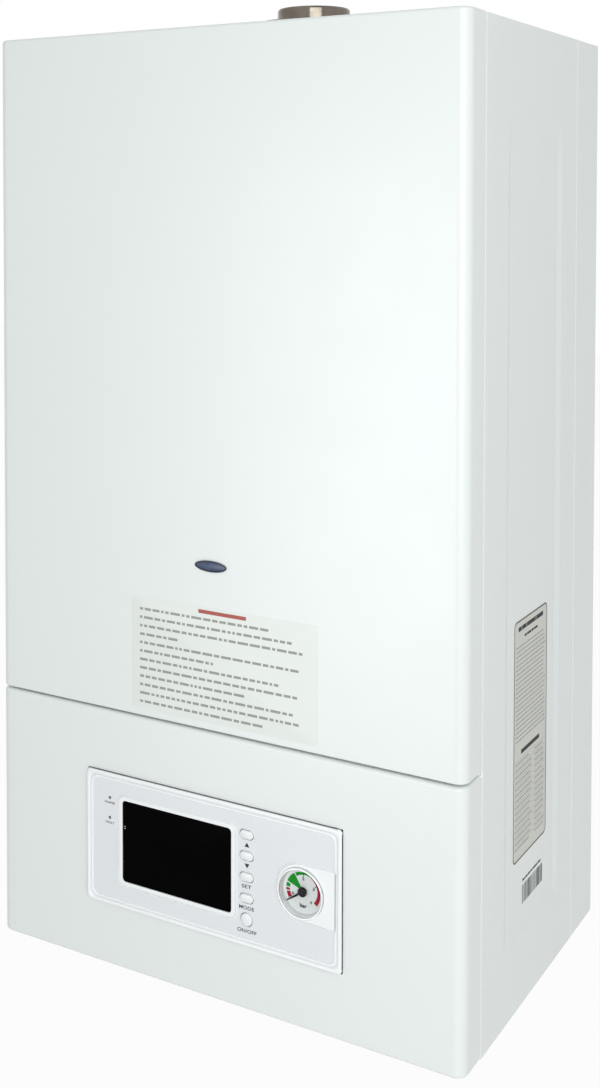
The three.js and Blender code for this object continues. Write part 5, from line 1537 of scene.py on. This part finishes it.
class BOILER_OT_build_gauge(bpy.types.Operator):
    """Pressure gauge: ring, dial with its coloured bands and figures, needle and lens"""

    bl_idname = "boiler.build_gauge"
    bl_label = "Pressure gauge"

    def execute(self, context):
        gauge = context.scene.boiler_gauge
        case, dial, pane = Extent("gauge_case"), Extent("gauge_dial"), Extent("gauge_lens")
        self.centre = case.middle[[0, 2]]
        self.level = dial.low[1]
        outer = case.size[0] / 2
        mouth = outer - gauge.ring
        card_radius = gauge.dial / 2
        bore = card_radius + 0.15 * MM
        body = outer - 1.35 * MM
        seat_radius = body - 1.7 * MM
        front, back = case.low[1], case.high[1]
        shoulder = front + 2.1 * MM
        ledge = dial.high[1] + 0.3 * MM
        seat = back - 1.6 * MM
        spindle = 1.2 * MM
        profile = [
            (outer, shoulder), (outer, front), (mouth, front), (bore, dial.low[1]), (bore, ledge),
            (seat_radius, ledge), (seat_radius, seat), (spindle, seat), (spindle, back), (body, back),
            (body, shoulder),
        ]
        ring = lathe(soften_loop(profile, 0.3 * MM, 3), self.centre, "y", 128, loop=True)
        form("gauge_ring", ring, "control_flap", gauge_silver(), ("gauge_case",))
        hole = 1.3 * MM
        face, rear = dial.low[1], dial.high[1]
        disc = [(hole, face), (card_radius, face), (card_radius, rear), (hole, rear)]
        card = lathe(disc, self.centre, "y", 96, loop=True)
        form("dial_face", card, "control_flap", dial_card(), ("gauge_dial",))
        rise = 0.5 * MM
        radius = card_radius + 0.4 * MM
        shares = np.linspace(0, 1, 9)
        dome = np.stack([radius * shares, pane.low[1] + rise * shares**2], axis=-1)
        under = dome[::-1] + (0, 0.6 * MM)
        shell = lathe(np.vstack([dome, under]), self.centre, "y", 96)
        form("gauge_pane", shell, "control_flap", lens(), ("gauge_lens",))
        self.print_scale(gauge)
        self.needle(gauge)
        return {"FINISHED"}

    def angle(self, gauge, bar):
        """The angle of a pressure on the scale."""
        return gauge.zero - gauge.step * np.asarray(bar, float)

    def band(self, gauge, start, end, inner, outer, lift=0.03 * MM):
        """A thin arc on the dial between two pressures; its radii may change evenly along it. Its section of
        four corners is carried along the arc."""
        steps = 24
        angle = self.angle(gauge, np.linspace(start, end, steps))
        inner = np.linspace(*np.broadcast_to(inner, 2), steps)
        outer = np.linspace(*np.broadcast_to(outer, 2), steps)
        way = np.stack([np.cos(angle), np.sin(angle)], axis=-1)
        near = way * inner[:, None] + self.centre
        far = way * outer[:, None] + self.centre
        front, back = self.level - lift, self.level + 0.01 * MM
        return closed(np.stack([lay(near, front), lay(far, front), lay(far, back), lay(near, back)], axis=1))

    def print_scale(self, gauge):
        """Bands, marks and figures."""
        radius, width = gauge.scale_radius, gauge.band
        green = merged(
            self.band(gauge, 0.88, 1.49, 2.0 * MM, radius),
            self.band(gauge, 0.61, 0.82, radius - 1.15 * width, radius),
            self.band(gauge, 1.54, 2.5, (radius - width, radius - 0.3 * width), radius),
        )
        red = merged(
            self.band(gauge, 0.05, 0.37, radius - 1.15 * width, radius),
            self.band(gauge, 0.42, 0.55, radius - 1.15 * width, radius),
            self.band(gauge, 2.45, 4.05, (radius - 0.4 * width, radius - 1.2 * width), radius),
        )
        dark = merged(
            self.band(gauge, 2.2, 3.2, radius - 0.1 * width, radius + 0.1 * width, 0.04 * MM),
            *(self.band(gauge, bar - 0.02, bar + 0.02, radius - 1.3 * width, radius, 0.05 * MM)
              for bar in (2, 3)),
        )
        form("dial_green_bands", green, "control_flap", dial_green())
        form("dial_red_bands", red, "control_flap", dial_red())
        form("dial_marks", dark, "control_flap", dark_ink())
        reach = radius - 1.75 * width
        for name, bar in (("0", 0.22), ("2", 2), ("3", 3.08), ("4", 4.2)):
            angle = self.angle(gauge, bar)
            centre = self.centre + reach * np.array([np.cos(angle), np.sin(angle)])
            lettering(f"figure_{name}", name, (1.7 * MM, gauge.figure), centre, self.level - 0.02 * MM,
                      dark_ink(), "control_flap", weight=0.03)
        unit = self.centre - (0, 10.4 * MM)
        lettering("figure_unit", "bar", (5.6 * MM, 3.0 * MM), unit, self.level - 0.02 * MM, dark_ink(),
                  "control_flap", weight=0.03)

    def needle(self, gauge):
        """The pointer: a blade whose half width shrinks to its tip, a domed hub and a spindle."""
        extent = Extent("gauge_needle")
        blade = self.level - 1.9 * MM
        thick = 0.3 * MM
        along = np.array([-0.22, -0.21, 0.0, 0.35, 0.7, 0.97, 1.0]) * gauge.needle
        half = np.array([0.25, 0.7, 0.9, 0.75, 0.6, 0.4, 0.1]) * MM
        way = np.array([math.cos(gauge.zero), math.sin(gauge.zero)])
        aside = np.array([-way[1], way[0]])
        spine = self.centre + along[:, None] * way
        left, right = spine + half[:, None] * aside, spine - half[:, None] * aside
        sections = [lay(left, blade), lay(spine, blade - thick), lay(right, blade), lay(right, blade + thick),
                    lay(left, blade + thick)]
        hub_radius = gauge.hub / 2
        front = extent.low[1]
        spindle = 0.95 * MM
        foot, end = self.level - 0.4 * MM, extent.high[1]
        hub_edge = 0.5 * MM
        hub = [(0, front), (hub_radius, front), (hub_radius, foot), (spindle, foot), (spindle, end), (0, end)]
        pointer = closed(np.stack(sections, axis=1))
        surfaces = merged(pointer, lathe(soften(hub, hub_edge), self.centre, "y", 48))
        form("needle_pointer", surfaces, "needle", black_plastic(), ("gauge_needle",))


# ---- Flue and gas side ----


class BOILER_OT_build_flue(bpy.types.Operator):
    """Flue spigot and air intake collar"""

    bl_idname = "boiler.build_flue"
    bl_label = "Flue"

    def execute(self, context):
        spigot, collar = Extent("flue_spigot"), Extent("air_intake_collar")
        centre = spigot.middle[:2]
        outer = spigot.size[0] / 2
        thick = 1.2 * MM
        lead = 1.6 * MM
        top, foot = spigot.high[2], spigot.low[2]
        profile = [
            (outer, foot), (outer, top - lead), (outer - lead / 2, top), (outer - lead / 2 - thick / 2, top),
            (outer - thick, top - lead), (outer - thick, foot),
        ]
        body = lathe(soften_loop(profile, 0.6 * MM), centre, "z", 128, loop=True)
        form("spigot_tube", body, "root", flue_nickel(), ("flue_spigot",))
        self.collar(collar, centre, outer + 0.3 * MM)
        return {"FINISHED"}

    @staticmethod
    def collar(collar, centre, sleeve):
        """A ring with a foot flange, a rolled brim and three webs that reach to the flue."""
        flange = collar.size[0] / 2
        outer = flange - 12.2 * MM
        thick = 1.5 * MM
        bore = outer - thick
        foot, top = collar.low[2], collar.high[2]
        profile = [
            (bore, foot), (flange, foot), (flange, foot + thick), (outer + 0.4 * MM, foot + thick),
            (outer, foot + 3 * MM), (outer, top - 2.5 * MM), (outer + 0.35 * MM, top - 1.2 * MM),
            (outer, top), (bore, top),
        ]
        ring = lathe(soften_loop(profile, 0.4 * MM), centre, "z", 128, loop=True)
        web_height = 8.7 * MM
        reach = bore + 0.5 * MM - sleeve
        turns = RIGHT_ANGLE + np.arange(3) * 2 * math.pi / 3
        points, quads = boxes([[sleeve + reach / 2, 0, foot + web_height / 2]], [[reach, 3 * MM, web_height]])
        webs = []
        for turn in turns:
            cosine, sine = math.cos(turn), math.sin(turn)
            spin = np.array([[cosine, sine, 0], [-sine, cosine, 0], [0, 0, 1]])
            webs.append((points @ spin + (*centre, 0), quads))
        form("intake_ring", merged(ring, *webs), "root", flue_nickel(), ("air_intake_collar",))


class BOILER_OT_build_gas_side(bpy.types.Operator):
    """Fan, hood, heat exchanger, combustion chamber, burner and gas valve"""

    bl_idname = "boiler.build_gas_side"
    bl_label = "Gas side"

    def execute(self, context):
        looks = {
            "fan_housing": (aluminium, 0.8), "fan_impeller": (zinc, 0.25), "fan_motor": (black_plastic, 1.0),
            "flue_hood": (aluminium, 0.8), "heat_exchanger": (copper, 0.4), "combustion_chamber": (zinc, 0.7),
            "burner": (aluminium, 0.4), "gas_manifold": (brass, 0.4), "ignition_electrode": (ceramic, 0.3),
            "gas_valve": (aluminium, 0.8), "air_pressure_switch": (black_plastic, 0.6),
        }
        for node, (finish, edge) in looks.items():
            dress(node, finish(), edge * MM)
        self.gas_pipe(context.scene.boiler_water)
        return {"FINISHED"}

    @staticmethod
    def gas_pipe(water):
        """From the gas valve's top forward to the manifold."""
        extent = Extent("gas_pipe")
        radius = water.gas_pipe / 2
        rear, front = extent.high[1] - radius, extent.low[1] + radius
        level = extent.middle[2]
        x = extent.middle[0]
        foot, head = extent.low[2], extent.high[2]
        route = [(x, rear, foot), (x, rear, level), (x, front, level), (x, front, head)]
        tube = hollow_tube(soften(route, water.bend, 10), radius, water.wall, water.sides)
        form("gas_tube", tube, "root", aluminium(), ("gas_pipe",))


# ---- Water side ----


class BOILER_OT_build_water_side(bpy.types.Operator):
    """Water blocks, plate heat exchanger, pump, expansion vessel and knobs"""

    bl_idname = "boiler.build_water_side"
    bl_label = "Water side"

    def execute(self, context):
        looks = {
            "flow_block": (brass, 1.2), "return_block": (brass, 1.2), "filling_knob": (black_plastic, 0.5),
            "relief_knob": (red_plastic, 0.6), "plate_heat_exchanger": (aluminium, 0.8),
            "diverter_motor": (moulding, 1.2), "pump_body": (brass, 1.0), "pump_rotor": (black_plastic, 0.3),
            "pump_motor": (red_enamel, 1.0), "air_vent": (brass, 0.6), "cable_gland": (black_plastic, 0.4),
        }
        for node, (finish, edge) in looks.items():
            dress(node, finish(), edge * MM)
        self.vessel()
        return {"FINISHED"}

    @staticmethod
    def vessel():
        """A flat round vessel of two domed shells, with a rolled seam between them and a stud behind."""
        extent = Extent("expansion_vessel")
        radius = extent.size[0] / 2
        front, stud_end = extent.low[1], extent.high[1]
        back = stud_end - 7.7 * MM
        middle = (front + back) / 2
        seam, stud = 2.2 * MM, 12 * MM
        body = radius - seam
        outline = [
            (0, front), (radius - 42 * MM, front), (radius - 34 * MM, front + 3 * MM),
            (radius - 8 * MM, front + 6 * MM), (body, front + 16 * MM), (body, middle - seam),
            (radius, middle - seam), (radius, middle + seam), (body, middle + seam),
            (body, back - 14 * MM), (radius - 26 * MM, back), (stud, back), (stud, stud_end), (0, stud_end),
        ]
        shell = lathe(soften(outline, 6 * MM, 6), extent.middle[[0, 2]], "y", 128)
        form("vessel_shell", shell, "root", red_enamel(), ("expansion_vessel",))


class BOILER_OT_build_pipes(bpy.types.Operator):
    """Flow, return and vessel pipes"""

    bl_idname = "boiler.build_pipes"
    bl_label = "Pipes"

    def execute(self, context):
        water = context.scene.boiler_water
        self.heating_pipe("flow", water)
        self.heating_pipe("return", water)
        self.vessel_pipe(water)
        return {"FINISHED"}

    @staticmethod
    def heating_pipe(key, water):
        """From the heat exchanger's port down to the water side, stepping over to the stub's axis."""
        extent = Extent(f"{key}_pipe")
        radius = water.pipe / 2
        side = -1 if key == "flow" else 1
        outer_x = side * (abs(extent.middle[0]) + extent.size[0] / 2 - radius)
        top = extent.high[2] - radius
        stub = Extent("heating_flow_stub" if key == "flow" else "heating_return_stub").middle
        chamber = Extent("combustion_chamber").low[2]
        if key == "flow":
            depth = stub[1] + 2.5 * MM
            bends = [(outer_x, depth, chamber - 40 * MM), (stub[0], stub[1], chamber - 90 * MM)]
        else:
            depth = extent.low[1] + radius
            bends = [(outer_x, depth, chamber + 60 * MM), (stub[0], stub[1], chamber - 20 * MM)]
        exchanger = Extent("heat_exchanger")
        port_gap = 0.3 * MM
        port_x = exchanger.low[0] - port_gap if side < 0 else exchanger.high[0] + port_gap
        route = [(port_x, depth, top), (outer_x, depth, top), *bends, (stub[0], stub[1], extent.low[2])]
        tube = hollow_tube(soften(route, water.bend, 10), radius, water.wall, water.sides)
        form(f"{key}_tube", tube, "root", copper(), (f"{key}_pipe",))

    @staticmethod
    def vessel_pipe(water):
        """From the vessel's lowest point across to the return block."""
        extent = Extent("vessel_pipe")
        radius = water.small_pipe / 2
        depth = extent.high[1] - radius
        left, right = extent.low[0] + radius, extent.high[0] - radius
        foot = extent.low[2] + radius
        head = extent.high[2]
        block = Extent("return_block").high[2]
        route = [
            (left, depth, head), (left, depth, head - 40 * MM), (right, depth, block + 20 * MM),
            (right, depth, foot), (right, extent.low[1], foot),
        ]
        tube = hollow_tube(soften(route, water.bend, 10), radius, water.wall, water.sides)
        form("vessel_tube", tube, "root", copper(), ("vessel_pipe",))


class BOILER_OT_build_connections(bpy.types.Operator):
    """Five threaded connections under the casing with their hexagon nuts"""

    bl_idname = "boiler.build_connections"
    bl_label = "Connections"

    def execute(self, context):
        water = context.scene.boiler_water
        for key in ("heating_flow", "hot_water", "gas", "cold_water", "heating_return"):
            self.stub(f"{key}_stub", water)
        return {"FINISHED"}

    @staticmethod
    def stub(node, water):
        """A threaded end whose radius follows a sine of its height, a plain shank and a chamfered nut."""
        extent = Extent(node)
        centre = extent.middle[:2]
        across_corners = extent.size[0] / 2
        nut_rim, clearance, pipe_wall = 4 * MM, 0.2 * MM, 3 * MM
        radius = across_corners - nut_rim - clearance
        bore = radius - pipe_wall + clearance
        foot, top = extent.low[2], extent.high[2]
        thread_top = foot + 24 * MM
        steps = np.linspace(foot + 1 * MM, thread_top, 110)
        thread_depth = 0.45 * MM
        ridge = thread_depth * (np.sin(2 * math.pi * (steps - foot) / water.thread) - 1) / 2
        thread = np.stack([radius + ridge, steps], axis=-1)
        profile = np.vstack([[(bore, top), (bore, foot), (radius - 1.2 * MM, foot)], thread,
                             [(radius, thread_top + 2 * MM), (radius, top)]])
        shank = lathe(profile, centre, "z", 64, loop=True)
        nut_foot = FOOT + 1.5 * MM
        nut_height = 8 * MM
        chamfer = 1.2 * MM
        hexagon = circle(1.0, 6)
        levels = [(0.88, 0), (1.0, chamfer), (1.0, nut_height - chamfer), (0.88, nut_height)]
        corners = hexagon * across_corners
        nut = closed([lay(corners * scale + centre, nut_foot + rise, "top") for scale, rise in levels])
        form(f"{node}_union", merged(shank, nut), "root", brass(), (node,))


# ---- Stage ----


class BOILER_OT_build_stage(bpy.types.Operator):
    """Camera, soft lamps, white room and pale floor"""

    bl_idname = "boiler.build_stage"
    bl_label = "Stage"

    def execute(self, context):
        stage = context.scene.boiler_stage
        context.scene.view_settings.view_transform = "Standard"
        self.camera(context, stage)
        key = self.lamp("key_softbox", stage.key_place, stage.aim, stage.key_size, stage.key)
        key.data.color = stage.key_tint
        sheen = self.lamp("sheen_softbox", stage.sheen_place, stage.aim, stage.sheen_size, stage.sheen)
        sheen.visible_diffuse = False
        self.room(context, stage)
        self.floor(context, stage)
        return {"FINISHED"}

    @staticmethod
    def camera(context, stage):
        """A camera without roll, at the picture's viewing angle."""
        data = bpy.data.cameras.new("camera")
        data.lens = stage.lens
        data.shift_x, data.shift_y = stage.shift
        camera = bpy.data.objects.new("camera", data)
        camera.location = stage.eye
        camera.rotation_euler = Euler((RIGHT_ANGLE - stage.pitch, 0.0, stage.yaw))
        context.scene.collection.objects.link(camera)
        context.scene.camera = camera

    @staticmethod
    def lamp(name, middle, target, size, energy):
        """A rectangular soft lamp that faces a point."""
        data = bpy.data.lights.new(name, "AREA")
        data.shape = "RECTANGLE"
        data.size, data.size_y = size
        data.energy = energy
        lamp = bpy.data.objects.new(name, data)
        lamp.location = middle
        way = np.array(target) - np.array(middle)
        level = math.hypot(way[0], way[1])
        lamp.rotation_euler = Euler((math.atan2(level, -way[2]), 0.0, math.atan2(-way[0], way[1])))
        bpy.context.scene.collection.objects.link(lamp)
        return lamp

    @staticmethod
    def seen(finish):
        """One where a ray comes from the camera, a mirror or a glass, and nought elsewhere."""
        kinds = ("Camera", "Glossy", "Transmission")
        rays = [finish.node("ShaderNodeLightPath", output=f"Is {kind} Ray") for kind in kinds]
        total = rays[0] + rays[1] + rays[2]
        return finish.node("ShaderNodeMath", {"operation": "MINIMUM"}, {0: total, 1: 1.0})

    def room(self, context, stage):
        """A white room all round, dimmer where it only lights the object."""
        world = bpy.data.worlds.new("white_room")
        context.scene.world = world
        finish = Finish("white_room", world)
        seen = self.seen(finish)
        strength = seen + (1 - seen) * stage.room
        light = finish.node("ShaderNodeBackground", None, {"Color": (1, 1, 1, 1), "Strength": strength})
        ending = finish.tree.nodes.new("ShaderNodeOutputWorld")
        finish.tree.links.new(light.socket, ending.inputs["Surface"])

    def floor(self, context, stage):
        """A pale floor that shows nearly white and keeps a soft shadow."""
        corners = stage.floor_reach * np.array([(-1, -1), (1, -1), (1, 1), (-1, 1)])
        mesh = bpy.data.meshes.new(stage.backdrop)
        mesh.from_pydata(lay(corners, stage.floor, "top").tolist(), [], [(0, 1, 2, 3)])
        finish = Finish("pale_floor")
        tone = finish.between(finish.noise(1.5, 3.0), 0.3, 0.7, 0.5, 0.6)
        pale = rgba((0.86, 0.86, 0.86))
        matt = finish.node("ShaderNodeBsdfPrincipled", None, {"Base Color": pale, "Roughness": tone})
        glow = finish.node("ShaderNodeEmission", None, {"Color": (1, 1, 1, 1), "Strength": 1.0})
        factor = self.seen(finish) * stage.floor_glow
        mixed = finish.node("ShaderNodeMixShader", None, {0: factor, 1: matt, 2: glow})
        mesh.materials.append(finish.output(mixed))
        floor = bpy.data.objects.new(stage.backdrop, mesh)
        context.scene.collection.objects.link(floor)


# ---- Add-on ----


GROUPS = {
    "boiler_finish": FinishSettings,
    "boiler_casing": CasingSettings,
    "boiler_panel": PanelSettings,
    "boiler_gauge": GaugeSettings,
    "boiler_water": WaterSettings,
    "boiler_stage": StageSettings,
}

BUILDERS = (
    BOILER_OT_build_stage,
    BOILER_OT_build_cover,
    BOILER_OT_build_fascia,
    BOILER_OT_build_sides,
    BOILER_OT_build_back,
    BOILER_OT_build_sight_glass,
    BOILER_OT_build_labels,
    BOILER_OT_build_panel,
    BOILER_OT_build_buttons,
    BOILER_OT_build_gauge,
    BOILER_OT_build_flue,
    BOILER_OT_build_gas_side,
    BOILER_OT_build_water_side,
    BOILER_OT_build_pipes,
    BOILER_OT_build_connections,
)


class BOILER_PT_sidebar(bpy.types.Panel):
    """Lists the builders and the properties they read"""

    bl_label = "Boiler"
    bl_idname = "BOILER_PT_sidebar"
    bl_space_type = "VIEW_3D"
    bl_region_type = "UI"
    bl_category = "Boiler"

    def draw(self, context):
        for builder in BUILDERS:
            self.layout.operator(builder.bl_idname)
        for name, group in GROUPS.items():
            box = self.layout.box()
            for prop in group.__annotations__:
                box.prop(getattr(context.scene, name), prop)


def register():
    """Adds the groups, the builders and the panel."""
    for group in GROUPS.values():
        bpy.utils.register_class(group)
    for name, group in GROUPS.items():
        setattr(bpy.types.Scene, name, PointerProperty(type=group))
    for builder in BUILDERS:
        bpy.utils.register_class(builder)
    bpy.utils.register_class(BOILER_PT_sidebar)


def unregister():
    """Takes them away again."""
    bpy.utils.unregister_class(BOILER_PT_sidebar)
    for builder in reversed(BUILDERS):
        bpy.utils.unregister_class(builder)
    for name in GROUPS:
        delattr(bpy.types.Scene, name)
    for group in reversed(tuple(GROUPS.values())):
        bpy.utils.unregister_class(group)


def main():
    """Builds everything in order."""
    register()
    for builder in BUILDERS:
        area, name = builder.bl_idname.split(".")
        getattr(getattr(bpy.ops, area), name)()


if __name__ == "__main__":
    main()
